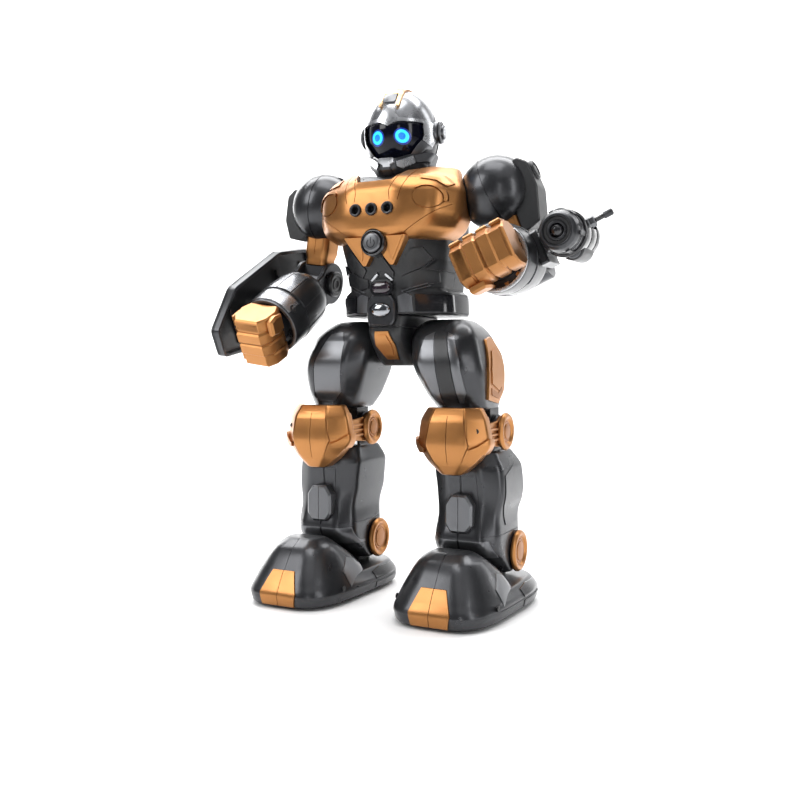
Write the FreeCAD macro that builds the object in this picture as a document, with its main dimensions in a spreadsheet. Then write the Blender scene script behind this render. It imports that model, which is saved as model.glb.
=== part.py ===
import FreeCAD, Part

import json
import math
import os
import re
from FreeCAD import Placement, Rotation, Vector

# Walking humanoid robot toy, 0.36 m tall. Millimetres, +Z up, the robot faces -Y and its left side is +X.
# The design frame has the robot's own mid-plane at X = 0; origin_x and origin_y move the finished
# parts so that the origin is the centre of the bounding box on the ground.

os.makedirs("parts", exist_ok=True)
doc = FreeCAD.newDocument("walking_robot")
sheet = doc.addObject("Spreadsheet::Sheet", "dims")
CELLS = [
    ("origin_x", -21.33), ("origin_y", 24.77), ("wall", 2.2), ("run_gap", 0.08), ("seam", 0.15),
    # head
    ("neck_y", -7.0), ("head_z", 326.0), ("head_rx", 24.8), ("head_ry", 31.5), ("head_rz", 30.5),
    ("head_turn_rest", 8.0), ("neck_rad", 8.0), ("ear_rad", 7.8), ("eye_x", 8.8), ("eye_z", 319.3),
    # torso
    ("torso_base_z", 199.0), ("neck_floor_z", 290.5), ("collar_rad", 35.0), ("button_z", 246.0),
    ("button_rad", 6.9), ("collar_out_rad", 9.2), ("sensor_pitch", 12.0), ("sensor_z", 268.0),
    ("sensor_rad", 4.2), ("pelvis_hw", 19.0),
    # arms
    ("shoulder_x", 68.0), ("shoulder_y", 1.0), ("shoulder_z", 282.0), ("ball_rad", 25.5),
    ("ball_in_rad", 23.0), ("upper_arm_len", 55.0), ("cant_left", 24.0), ("cant_right", 8.0),
    ("bend_left", 88.0), ("bend_right", 57.0), ("pin_rad", 3.0), ("wrist_rad", 5.0),
    ("hub_rad", 5.5), ("cross_rad", 4.0), ("barrel_x", 41.0), ("barrel_y", 3.0), ("dart_rad", 4.05),
    # legs
    ("hip_y", -4.0), ("hip_z", 173.0), ("hip_pin_rad", 5.0), ("knee_x", 52.0), ("knee_z", 119.0),
    ("knee_disc_rad", 13.0), ("ankle_x", 55.3), ("ankle_y", 12.0), ("ankle_z", 35.0),
    ("ankle_disc_rad", 14.5), ("foot_x", 56.0), ("sole_z", 2.0), ("wheel_rad", 7.5),
    ("wheel_y", 20.0), ("roller_rad", 5.0), ("roller_y", -50.0), ("axle_rad", 1.5), ("roller_axle_rad", 1.2),
]
for i, (alias, value) in enumerate(CELLS):
    sheet.set(f"A{i + 1}", alias)
    sheet.set(f"B{i + 1}", str(value))
    sheet.setAlias(f"B{i + 1}", alias)
doc.recompute()
NAMES = {a for a, _ in CELLS}


def d(alias):
    return float(getattr(sheet, alias))


def expr(text):
    return re.sub(r"[a-z_][a-z_0-9]*", lambda m: "dims." + m.group(0) if m.group(0) in NAMES else m.group(0), text)


def num(value):
    """A number, or an expression of the sheet's cells."""
    if isinstance(value, str):
        return float(eval_expr(value))
    return float(value)


def eval_expr(text):
    # the four operations on cells and numbers, left to right within brackets-free sums of products
    total, sign = 0.0, 1.0
    for part in re.findall(r"[+-]|[^+-]+", text.replace(" ", "")):
        if part == "+":
            sign = 1.0
        elif part == "-":
            sign = -1.0
        else:
            product = 1.0
            for factor in part.split("*"):
                product *= d(factor) if factor in NAMES else float(factor)
            total += sign * product
    return total


def bind(obj, prop, value):
    if isinstance(value, str):
        obj.setExpression(prop, expr(value))
    else:
        setattr(obj, prop, value)


AXES = {"Z": Rotation(), "X": Rotation(Vector(0, 1, 0), 90), "-X": Rotation(Vector(0, 1, 0), -90),
        "Y": Rotation(Vector(1, 0, 0), -90), "-Y": Rotation(Vector(1, 0, 0), 90), "-Z": Rotation(Vector(1, 0, 0), 180)}


def place(obj, at, axis="Z"):
    obj.Placement = Placement(Vector(*[num(v) for v in at]), AXES[axis])
    for key, v in zip("xyz", at):
        if isinstance(v, str):
            obj.setExpression(f"Placement.Base.{key}", expr(v))
    return obj


def box(name, x, y, z, at):
    """A box of size x, y, z whose low corner is at."""
    o = doc.addObject("Part::Box", name)
    bind(o, "Length", x), bind(o, "Width", y), bind(o, "Height", z)
    return place(o, at)


def span(name, x0, x1, y0, y1, z0, z1):
    return box(name, x1 - x0, y1 - y0, z1 - z0, (x0, y0, z0))


def cyl(name, r, h, at, axis="Z"):
    """A cylinder of radius r and height h, its base centre at, growing along axis."""
    o = doc.addObject("Part::Cylinder", name)
    bind(o, "Radius", r), bind(o, "Height", h)
    return place(o, at, axis)


def cone(name, r1, r2, h, at, axis="Z"):
    o = doc.addObject("Part::Cone", name)
    bind(o, "Radius1", r1), bind(o, "Radius2", r2), bind(o, "Height", h)
    return place(o, at, axis)


def ball(name, r, at):
    o = doc.addObject("Part::Sphere", name)
    bind(o, "Radius", r)
    return place(o, at)


def egg(name, grow, at=(0.0, "neck_y", "head_z")):
    """The head's ellipsoid, grown by grow all round."""
    o = doc.addObject("Part::Ellipsoid", name)
    o.Angle1, o.Angle2, o.Angle3 = -90, 90, 360
    sign = "+" if grow >= 0 else "-"
    for prop, cell in (("Radius1", "head_rz"), ("Radius2", "head_rx"), ("Radius3", "head_ry")):
        bind(o, prop, f"{cell} {sign} {abs(grow)}")
    return place(o, at)


def fuse(name, parts):
    o = doc.addObject("Part::MultiFuse", name)
    o.Shapes = parts
    o.Refine = False
    return o


def common(name, a, b):
    o = doc.addObject("Part::Common", name)
    o.Base, o.Tool = a, b
    return o


def cut(name, base, *tools):
    if len(tools) > 1:
        tool = fuse(name + "_tools", list(tools))
    else:
        tool = tools[0]
    o = doc.addObject("Part::Cut", name)
    o.Base, o.Tool = base, tool
    return o


def sketch(name, pts, placement):
    """A closed sketch of straight lines, or of one ellipse when pts is a pair of half axes and a centre."""
    s = doc.addObject("Sketcher::SketchObject", name)
    if isinstance(pts, dict):
        e = Part.Ellipse(Vector(pts["x"], pts["y"] + 0.0, 0), pts["a"], pts["b"]) if pts["a"] > pts["b"] else Part.Circle(Vector(pts["x"], pts["y"], 0), Vector(0, 0, 1), pts["a"])
        s.addGeometry(e, False)
    else:
        for (x0, y0), (x1, y1) in zip(pts, pts[1:] + pts[:1]):
            s.addGeometry(Part.LineSegment(Vector(x0, y0, 0), Vector(x1, y1, 0)), False)
    s.Placement = placement
    return s


def loft(name, sections, ruled=True):
    """A solid through horizontal sections, each (z, points)."""
    o = doc.addObject("Part::Loft", name)
    o.Sections = [sketch(f"{name}_s{i}", pts, Placement(Vector(0, 0, z), Rotation())) for i, (z, pts) in enumerate(sections)]
    o.Solid, o.Ruled, o.Closed = True, ruled, False
    return o


PLANES = {"XY": (Rotation(), Vector(0, 0, 1)),
          "XZ": (Rotation(Vector(1, 0, 0), 90), Vector(0, 1, 0)),
          "YZ": (Rotation(Vector(1, 1, 1), 120), Vector(1, 0, 0))}


def prism(name, pts, plane, a, b):
    """A prism of the outline pts in a plane, from a to b along the plane's normal axis."""
    rot, direction = PLANES[plane]
    s = sketch(name + "_sk", pts, Placement(direction * min(a, b), rot))
    o = doc.addObject("Part::Extrusion", name)
    o.Base, o.DirMode, o.Dir, o.LengthFwd, o.Solid = s, "Custom", direction, abs(b - a), True
    return o


def p8(cx, hw, yf, yb, fw, bw, fy, by):
    """An eight-sided section: half width hw, front at yf over +-fw, back at yb over +-bw, corners fy and by deep."""
    return [(cx - fw, yf), (cx + fw, yf), (cx + hw, yf + fy), (cx + hw, yb - by), (cx + bw, yb), (cx - bw, yb), (cx - hw, yb - by), (cx - hw, yf + fy)]


def shell_sections(sections, t, top=None, bottom=None):
    """Inner sections of a p8 loft, t inside. The first and last heights are replaced when given."""
    out = []
    for i, (z, a) in enumerate(sections):
        cx, hw, yf, yb, fw, bw, fy, by = a
        out.append([z, (cx, hw - t, yf + t, yb - t, max(fw - 0.5 * t, 1.0), max(bw - 0.5 * t, 1.0), fy, by)])
    if bottom is not None:
        out[0][0] = bottom
    if top is not None:
        out[-1][0] = top
    return out


def p8_loft(name, sections, sx=1):
    return loft(name, [(z, [(sx * x, y) for x, y in p8(*a)]) for z, a in sections])


def halves(name, solid, x):
    """The solid split at the plane X = x, with the seam between."""
    g = d("seam") / 2
    left = span(name + "_boxa", x - g, x + 200, -200, 200, -50, 400)
    right = span(name + "_boxb", x - 200, x + g, -200, 200, -50, 400)
    return [cut(name + "_a", solid, right), cut(name + "_b", solid, left)]


def body_revolve(name, profile, at, axis="Z"):
    """A PartDesign body turned from a profile of (radius, height) points about its own Z axis."""
    body = doc.addObject("PartDesign::Body", name)
    plane = [f for f in body.Origin.OriginFeatures if f.Role == "XZ_Plane"][0]
    s = body.newObject("Sketcher::SketchObject", name + "_profile")
    s.AttachmentSupport, s.MapMode = [(plane, "")], "FlatFace"
    for (x0, y0), (x1, y1) in zip(profile, profile[1:] + profile[:1]):
        s.addGeometry(Part.LineSegment(Vector(x0, y0, 0), Vector(x1, y1, 0)), False)
    r = body.newObject("PartDesign::Revolution", name + "_turn")
    r.Profile, r.ReferenceAxis, r.Angle = s, (s, ["V_Axis"]), 360
    body.Tip = r
    return place(body, at, axis)


def body_pad(name, pts, thick, at, axis="Z", fillet=0.0):
    """A PartDesign body padded from an outline, thick high, its top edges rounded by fillet."""
    body = doc.addObject("PartDesign::Body", name)
    plane = [f for f in body.Origin.OriginFeatures if f.Role == "XY_Plane"][0]
    s = body.newObject("Sketcher::SketchObject", name + "_outline")
    s.AttachmentSupport, s.MapMode = [(plane, "")], "FlatFace"
    for (x0, y0), (x1, y1) in zip(pts, pts[1:] + pts[:1]):
        s.addGeometry(Part.LineSegment(Vector(x0, y0, 0), Vector(x1, y1, 0)), False)
    p = body.newObject("PartDesign::Pad", name + "_pad")
    p.Profile = s
    bind(p, "Length", thick)
    body.Tip = p
    if fillet:
        doc.recompute()
        edges = [f"Edge{i + 1}" for i, e in enumerate(p.Shape.Edges) if abs(e.BoundBox.ZMin - num(thick)) < 1e-6 and abs(e.BoundBox.ZMax - num(thick)) < 1e-6]
        f = body.newObject("PartDesign::Fillet", name + "_round")
        f.Base, f.Radius = (p, edges), fillet
        body.Tip = f
    return place(body, at, axis)


NODES = {}


def node(label, parts, where=None):
    """A finished sub-part: its solids in one compound, moved to the row frame, after `where` if it is given."""
    o = doc.addObject("Part::Compound", "node_" + label)
    o.Links = parts if isinstance(parts, list) else [parts]
    o.Label = label
    o.Placement = Placement(Vector(d("origin_x"), d("origin_y"), 0), Rotation()) * (where or Placement())
    if where is None:
        o.setExpression("Placement.Base.x", "dims.origin_x")
        o.setExpression("Placement.Base.y", "dims.origin_y")
    NODES[label] = o
    return o


GAP = d("run_gap")

# ------------------------------------------------------------------ torso
# Outer surface of the trunk: a flared skirt at the waist, a tapered abdomen, the chest and the collar.
TORSO = [
    (199.0, (0, 42.5, -36, 32, 19, 26, 19, 14)), (214.0, (0, 41.5, -37, 32, 18, 26, 19, 14)),
    (217.0, (0, 36.5, -37, 32, 17, 26, 17, 10)), (233.0, (0, 38.5, -40, 32, 18, 26, 19, 10)),
    (249.0, (0, 41, -44, 32, 22, 26, 20, 10)), (262.0, (0, 41.5, -47, 32, 24, 26, 22, 12)),
    (284.0, (0, 41.5, -46, 32, 24, 26, 22, 12)), (300.0, (0, 37, -28, 24, 20, 18, 14, 12)),
]
torso_outer = p8_loft("torso_outer", TORSO)
inner = shell_sections(TORSO[:-1], d("wall"), bottom=201.2)
inner[-1][0] = 284.0
inner.append([288.3, (0, 37.5, -40, 28, 20, 20, 18, 12)])
torso_inner = p8_loft("torso_inner", inner)
neck_well = cyl("neck_well", "collar_rad", 20, (0.0, "neck_y", "neck_floor_z"))
neck_bore = cyl("neck_bore", "neck_rad + run_gap", 30, (0.0, "neck_y", 270.0))
axle_bores = cyl("axle_bores", "hub_rad + run_gap", 120, (-60.0, "shoulder_y", "shoulder_z"), "X")
collar_bore = cyl("collar_bore", "collar_out_rad + run_gap", 40, (0.0, -60.0, "button_z"), "Y")
torso_hollow = cut("torso_hollow", torso_outer, torso_inner, neck_well, neck_bore, axle_bores)
front_half = span("front_half", -60, 60, -70, -0.1, 190, 310)
back_half = span("back_half", -60, 60, 0.1, 50, 190, 310)
torso_front = cut("torso_front", common("torso_front_raw", torso_hollow, front_half), collar_bore)
node("torso_front_shell", cut("torso_front_low", torso_front, prism("neckline", [(-24, 301), (24, 301), (13, 290.5), (-13, 290.5)], "XZ", -60, -20)))

# Back shell: battery opening, speaker slots, four screw bosses.
SCREWS = [(-20.0, 206.5), (20.0, 206.5), (-20.0, 276.0), (20.0, 276.0)]
bosses = [cyl(f"boss_{i}", 4.0, 11.0, (x, 20.0, z), "Y") for i, (x, z) in enumerate(SCREWS)]
back_solid = fuse("back_solid", [common("torso_back_raw", torso_hollow, back_half)] + bosses)
tools = [span("door_opening", -24.2, 24.2, 27, 40, 210.8, 263.2)]
for i, (x, z) in enumerate(SCREWS):
    tools.append(cyl(f"screw_bore_{i}", 1.35, 20.0, (x, 19.0, z), "Y"))
    tools.append(cyl(f"screw_sink_{i}", 2.7, 5.0, (x, 30.1, z), "Y"))
for i in range(4):
    tools.append(span(f"speaker_slot_{i}", -9, 9, 25, 40, 266.5 + 4 * i, 268.3 + 4 * i))
node("torso_back_shell", cut("torso_back", back_solid, *tools))
node("torso_screws", [body_revolve(f"screw_{i}", [(0, 0), (1.3, 0), (1.3, 8.2), (2.5, 8.2), (2.5, 9.4), (2.1, 9.8), (0.9, 9.8), (0.9, 9.0), (0, 9.0)], (x, 22.0, z), "Y") for i, (x, z) in enumerate(SCREWS)])
node("battery_door", body_pad("door_plate", [(-24, -26), (24, -26), (24, 26), (-24, 26)], 2.0, (0.0, 32.2, 237.0), "-Y", 0.0))
cells = [cyl(f"cell_{i}", 7.1, 44.0, (-21.6 + 14.4 * i, 20.0, 214.0)) for i in range(4)]
node("battery_pack", fuse("pack", cells + [span("pack_tray", -28.6, 28.6, 12.2, 16, 213, 259)]))
board = cut("board_plate", span("board_raw", -27, 27, -12, -10.4, 214, 264), *[cyl(f"board_hole_{i}", 1.6, 6.0, (x, -14.0, z), "Y") for i, (x, z) in enumerate([(-23.5, 218), (23.5, 218), (-23.5, 260), (23.5, 260)])])
node("main_board", fuse("board", [board, span("chip_a", -9, 3, -13.4, -11.9, 232, 244), span("chip_b", 8, 16, -13.2, -11.9, 224, 230), span("switch_base", -4, 4, -31.5, -11.5, 242, 250)]))
node("speaker", [body_revolve("speaker_cone", [(0, 0), (7, 0), (7, 4), (13, 7), (14, 7), (14, 9), (12, 9), (6, 6.5), (0, 6.5)], (0.0, 12.0, 274.0), "Y")])
node("torso_gearboxes", [
    span("gb_left", 18, 33.8, -8, 10, 270, 287),
    span("gb_right", -33.8, -18, -8, 10, 270, 287),
    span("gb_hip", -10, 10, -13, 10, 173.5, 190)])

# Chest armour: wraps the front of the chest and the inner front of both shoulders.
CHEST = [
    (248.5, (40, -30, 28, -43, 13, -48.5)), (256.0, (50, -31, 36, -46, 17, -53)), (266.0, (54, -29, 41, -46.5, 20, -54)),
    (279.0, (54.5, -26.5, 42, -44, 20, -53)), (288.0, (51, -22, 38, -40, 15, -49)), (299.5, (44, -11, 33, -23, 14, -31)),
]
chest_outer = loft("chest_outer", [(z, [(-cx, cf), (cx, cf), (mx, mf), (ex, ef), (ex, -6), (-ex, -6), (-ex, ef), (-mx, mf)]) for z, (ex, ef, mx, mf, cx, cf) in CHEST])
vee = [prism(f"vee_{n}", [(sx * x, z) for x, z in [(4.5, 249.5), (24, 249.5), (22, 245), (12, 231), (9, 231)]], "XZ", -49.5, -38) for n, sx in (("l", 1), ("r", -1))]
sensor_x = [(-1, "-1*sensor_pitch"), (0, "0"), (1, "sensor_pitch")]
chest_tools = [torso_outer, neck_well, prism("chest_neckline", [(-25, 301), (25, 301), (13, 287.5), (-13, 287.5)], "XZ", -60, -20), cyl("chest_collar_bore", "collar_out_rad + run_gap", 30, (0.0, -62.0, "button_z"), "Y")]
chest_tools += [cyl(f"sensor_bore_{i + 1}", "sensor_rad + run_gap", 20, (f"{i}*sensor_pitch" if i >= 0 else -d("sensor_pitch"), -62.0, "sensor_z"), "Y") for i, _ in sensor_x]
chest_tools += [ball(f"shoulder_room_{n}", "ball_rad + 0.9", (sx * d("shoulder_x"), "shoulder_y", "shoulder_z")) for n, sx in (("l", 1), ("r", -1))]
chest = cut("chest", fuse("chest_solid", [chest_outer] + vee), *chest_tools)
node("chest_plate", chest)
node("sensor_bezels", [body_revolve(f"bezel_{i + 1}", [(0, 0), (4.2, 0), (4.2, 7.6), (3.7, 8.1), (3.1, 8.1), (2.6, 7.4), (2.4, 2.2), (0, 2.2)], (i * d("sensor_pitch"), -47.3, "sensor_z"), "-Y") for i in (-1, 0, 1)])
node("button_collar", body_revolve("collar_cup", [(3.0, 0), (9.2, 0), (9.2, 14.4), (8.4, 15.2), (7.7, 15.2), (7.05, 14.6), (7.05, 2.0), (3.0, 2.0)], (0.0, -38.0, "button_z"), "-Y"))
node("power_button", body_revolve("button_cap", [(0, 0), (2.92, 0), (2.92, 8.0), (6.7, 8.0), (6.7, 18.0), (6.1, 18.9), (5.0, 19.3), (0, 19.5)], (0.0, -35.5, "button_z"), "-Y"))

# Pelvis with two hip stubs, its insert, the buckle across the waist joint and the window above it.
PELVIS = [(164.0, (0, 12.5, -18, 10, 8, 8, 5, 5)), (172.0, (0, 14.2, -27, 17, 9, 9, 6, 6)), (188.0, (0, 14.2, -37.5, 23, 10, 10, 6, 6)), (198.9, (0, 17.0, -36.5, 25, 12, 13, 8, 8))]
pelvis_outer = p8_loft("pelvis_outer", PELVIS)
pelvis_inner = p8_loft("pelvis_inner", shell_sections(PELVIS, d("wall"), top=196.7, bottom=166.4))
hip_stubs = [cyl(f"hip_stub_{n}", "hip_pin_rad", 17.5, (sx * 12.8, "hip_y", "hip_z"), "X" if sx > 0 else "-X") for n, sx in (("l", 1), ("r", -1))]
pelvis = cut("pelvis", fuse("pelvis_solid", [pelvis_outer] + hip_stubs), pelvis_inner)
node("pelvis_shell", halves("pelvis_h", pelvis, 0.0))
insert = prism("insert_raw", [(-5.5, 187.5), (4.5, 187.5), (7.5, 178), (6.0, 168.5), (-3.0, 168.5), (-7.5, 178)], "XZ", -46, -20)
insert_skin = p8_loft("insert_skin", [(z, (a[0], a[1] + 1.5, a[2] - 1.3, a[3], a[4], a[5], a[6], a[7])) for z, a in PELVIS])
node("pelvis_insert", cut("insert", common("insert_common", insert, insert_skin), pelvis_outer))
buckle = prism("buckle_raw", [(-8, 191.5), (8, 191.5), (10.5, 195), (10.5, 207), (7, 212), (-7, 212), (-10.5, 207), (-10.5, 195)], "XZ", -41.0, -30)
lens = doc.addObject("Part::Ellipsoid", "lens_raw")
lens.Radius1, lens.Radius2, lens.Radius3, lens.Angle1, lens.Angle2, lens.Angle3 = 4.6, 7.2, 3.0, -90, 90, 360
place(lens, (0.0, -40.8, 202.0))
node("belt_buckle", [cut("buckle", buckle, torso_outer, pelvis_outer), cut("lens", lens, span("lens_cut", -10, 10, -41.0, -30, 195, 210))])
window = prism("window_raw", [(-4.5, 213.0), (4.5, 213.0), (7, 215.2), (7, 219), (4.5, 221.4), (-4.5, 221.4), (-7, 219), (-7, 215.2)], "XZ", -41.8, -33)
node("ir_window", cut("window", window, torso_outer))

# ------------------------------------------------------------------ head, turned about the neck post
head_at = Placement(Vector(0, 0, 0), Rotation(Vector(0, 0, 1), d("head_turn_rest")), Vector(0, d("neck_y"), 0))
FACE = [(-6, 304), (6, 304), (13, 308), (20, 317), (21.5, 321), (21, 329.5), (6, 329), (0, 326), (-6, 329), (-21, 329.5), (-21.5, 321), (-20, 317), (-13, 308)]
face_cut = prism("face_cut", FACE, "XZ", -50, -11)
FACE_IN = [(x * 0.985, 318 + (z - 318) * 0.98) for x, z in FACE]
helmet = cut("helmet", egg("helmet_egg", 0.0), egg("helmet_in", -2.2), span("helmet_low", -40, 40, -50, 50, 280, 300), face_cut)
node("helmet_shell", helmet, head_at)
visor_band = cut("visor_band", egg("visor_out", -0.8), egg("visor_in", -2.8))
node("face_visor", common("visor", visor_band, prism("visor_area", FACE_IN, "XZ", -50, -11.3)), head_at)
eyes = []
eye_skin = cut("eye_skin", egg("eye_out", -0.4), egg("eye_in", -0.8))
for n, sx in (("l", 1), ("r", -1)):
    ring = cut(f"eye_ring_{n}", cyl(f"eye_o_{n}", 4.2, 30, (sx * d("eye_x"), -45.0, "eye_z"), "Y"), cyl(f"eye_i_{n}", 2.3, 30, (sx * d("eye_x"), -45.0, "eye_z"), "Y"))
    eyes.append(common(f"eye_{n}", ring, eye_skin))
    eyes.append(common(f"pupil_{n}", cyl(f"pupil_c_{n}", 1.3, 30, (sx * d("eye_x"), -45.0, "eye_z"), "Y"), eye_skin))
node("eye_lights", eyes, head_at)
helmet_full = egg("helmet_full", 0.05)
node("ear_pods", [cut(f"ear_{n}", fuse(f"ear_s_{n}", [cyl(f"ear_a_{n}", "ear_rad", 12, (sx * 16.6, -6.0, 327.0), "X" if sx > 0 else "-X"), cone(f"ear_b_{n}", 6.6, 4.8, 2.2, (sx * 28.6, -6.0, 327.0), "X" if sx > 0 else "-X")]), helmet_full) for n, sx in (("l", 1), ("r", -1))], head_at)
JAW = [(291.1, (0, 9.5, -35.5, 4, 4.5, 6, 9, 5)), (297.0, (0, 14.5, -40.2, 12, 5, 8, 16, 8)), (304.0, (0, 20.5, -42.0, 15, 5, 11, 24, 10)), (312.0, (0, 25.5, -39, 12, 6, 13, 27, 12))]
jaw_bore = cyl("jaw_bore", "neck_rad + 0.1", 40, (0.0, "neck_y", 280.0))
jaw_eye = prism("jaw_eye", [(-6, 303.5), (6, 303.5), (21, 313), (-21, 313)], "XZ", -52, -20)
node("chin_guard", cut("jaw", p8_loft("jaw_outer", JAW), helmet_full, jaw_bore, jaw_eye), head_at)
crest = common("crest_raw", egg("crest_egg", 1.9), prism("crest_area", [(-44, 337), (20, 337), (20, 370), (-44, 370)], "YZ", -7, 7))
node("helmet_crest", cut("crest", crest, helmet_full), head_at)
node("neck_post", body_revolve("neck", [(0, 0), (11, 0), (11, 4.0), (8.0, 4.0), (8.0, 27.0), (0, 27.0)], (0.0, "neck_y", 283.5)), head_at)

# ------------------------------------------------------------------ arms
# Each arm is drawn hanging straight down from its ball's centre, then canted outwards about Y and bent at the elbow.
L = d("upper_arm_len")


def arm_frames(side, cant, bend):
    base = Placement(Vector(side * d("shoulder_x"), d("shoulder_y"), d("shoulder_z")), Rotation())
    upper = base * Placement(Vector(), Rotation(Vector(0, 1, 0), -side * cant))
    fore = upper * Placement(Vector(0, 0, -L), Rotation(Vector(1, 0, 0), -bend))
    return base, upper, fore


def circle(r, x=0.0, y=0.0, b=None):
    return {"x": x, "y": y, "a": r, "b": r if b is None else b}


for n, sx in (("left", 1), ("right", -1)):
    base, upper, fore = arm_frames(sx, d("cant_" + n), d("bend_" + n))
    # The hub turns in the torso; its cross shaft carries the ball.
    ax = "X" if sx > 0 else "-X"
    hub = fuse(f"hub_{n}", [cyl(f"hub_axle_{n}", "hub_rad", 33.5, (-sx * 33.5, 0, 0), ax), cyl(f"hub_flange_{n}", 6.1, 2.2, (-sx * 33.5, 0, 0), ax),
                            span(f"hub_knot_{n}", -6.5, 6.5, -6.5, 6.5, -6.5, 6.5), cyl(f"hub_cross_{n}", "cross_rad", 41.4, (0, -20.7, 0), "Y")])
    node(f"shoulder_hub_{n}", hub, base)
    sphere = cut(f"ball_hollow_{n}", ball(f"ball_out_{n}", "ball_rad", (0, 0, 0)), ball(f"ball_in_{n}", "ball_in_rad", (0, 0, 0)))
    cross = [cyl(f"cross_boss_a_{n}", 7.0, 10.5, (0, 13.5, 0), "Y"), cyl(f"cross_boss_b_{n}", 7.0, 10.5, (0, -13.5, 0), "-Y")]
    sector = [(0.0, 0.0)] + [(-sx * 34 * math.cos(math.radians(a)), 34 * math.sin(math.radians(a))) for a in (-10, 9, 28, 47, 66)]
    shell = cut(f"ball_shell_{n}", fuse(f"ball_solid_{n}", [sphere] + cross), cyl(f"cross_bore_{n}", "cross_rad + run_gap", 42, (0, -21, 0), "Y"),
                prism(f"ball_slot_{n}", sector, "XZ", -6.2, 6.2), span(f"ball_flat_{n}", -30 if sx > 0 else 23.4, -23.4 if sx > 0 else 30, -30, 30, -30, 30),
                span(f"arm_hole_{n}", -10.2, 10.2, -10.2, 10.2, -30, -15))
    strap = prism(f"strap_a_{n}", [(sx * x, z) for x, z in ([(14, -36), (22, -34), (29.5, -12), (29.5, 6), (24, 12), (12, 12), (8, -36)] if sx > 0 else [(14, -26), (24, -25), (29.5, -12), (29.5, 6), (24, 12), (12, 12), (8, -26)])], "XZ", -10, 10)
    bump = cyl(f"strap_bump_{n}", 7.0, 11, (sx * 20.5, 0.0, 1.0), "X" if sx > 0 else "-X")
    bracket = cut(f"bracket_{n}", fuse(f"strap_{n}", [strap, bump]), ball(f"strap_room_{n}", "ball_rad + 0.1", (0, 0, 0)), span(f"strap_arm_{n}", -10.2, 10.2, -10.2, 10.2, -46, -14))
    node(f"shoulder_shell_{n}", halves(f"ball_h_{n}", shell, 0.0) + [bracket], upper)
    arm = loft(f"arm_block_{n}", [(-43.0, [(sx * x, y) for x, y in p8(0, 8.9, -8.9, 8.9, 6, 6, 3, 3)]), (-37.5, [(sx * x, y) for x, y in p8(0, 8.9, -9, 9, 6, 6, 3, 3)]), (-33.0, [(sx * x, y) for x, y in p8(0, 10, -10, 10, 7, 7, 3, 3)]), (-17.5, [(sx * x, y) for x, y in p8(0, 10, -10, 10, 7, 7, 3, 3)])])
    knuckle = cyl(f"elbow_knuckle_{n}", 9.0, 17.6, (-8.8, 0, -L), "X")
    neck = span(f"elbow_neck_{n}", -8.8, 8.8, -7, 7, -L, -42)
    node(f"upper_arm_{n}", cut(f"arm_{n}", fuse(f"arm_solid_{n}", [arm, knuckle, neck]), cyl(f"elbow_bore_{n}", "pin_rad + run_gap", 24, (-12, 0, -L), "X")), upper)
    # Forearm: two barrel halves with ears at the elbow, two pivot covers, an end wall that holds the wrist.
    FORE = [(-66.0, circle(21.3)), (-58.0, circle(21.8)), (-44.0, circle(22.0)), (-26.0, circle(20.6)), (-16.0, circle(16.5))]
    fore_outer = loft(f"fore_outer_{n}", FORE, False)
    fore_inner = loft(f"fore_inner_{n}", [(-57.5, circle(19.4)), (-44.0, circle(19.8)), (-28.0, circle(18.2)), (-18.4, circle(14.4))], False)
    recess = cyl(f"cuff_recess_{n}", 18.6, 10, (0, 0, -70.0))
    ears = []
    for k in (-1, 1):
        ears += [cyl(f"ear_disc_{n}_{k + 1}", 15.5, 4.0, (k * 9.3, 0, 0), "X" if k > 0 else "-X"), span(f"ear_leg_{n}_{k + 1}", 9.3 if k > 0 else -13.3, 13.3 if k > 0 else -9.3, -12, 12, -20, 0)]
    heel = common(f"elbow_heel_{n}", cut(f"elbow_heel_tube_{n}", cyl(f"elbow_heel_o_{n}", 15.5, 24, (-12, 0, 0), "X"), cyl(f"elbow_heel_i_{n}", 13.2, 26, (-13, 0, 0), "X")),
                  prism(f"elbow_heel_area_{n}", [(0.5, -18), (22, -22), (22, 9), (9.5, 9)], "YZ", -12, 12))
    fore_shell = cut(f"fore_shell_{n}", fuse(f"fore_solid_{n}", [fore_outer, heel] + ears), fore_inner, recess, cyl(f"wrist_bore_{n}", "wrist_rad + run_gap", 20, (0, 0, -70.0)),
                     cyl(f"ear_bore_{n}", "pin_rad + 0.05", 40, (-20, 0, 0), "X"))
    covers = [body_revolve(f"elbow_cover_{n}_{k + 1}", [(0, 0), (3.0, 0), (3.0, 11.5), (9.4, 11.5), (9.4, 13.9), (8.4, 14.9), (6.6, 14.9), (6.0, 13.9), (0, 13.9)], (k * 2.0, 0.0, 0.0), "X" if k > 0 else "-X") for k in (-1, 1)]
    node(f"forearm_shell_{n}", halves(f"fore_h_{n}", fore_shell, 0.0) + covers, fore)
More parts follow.
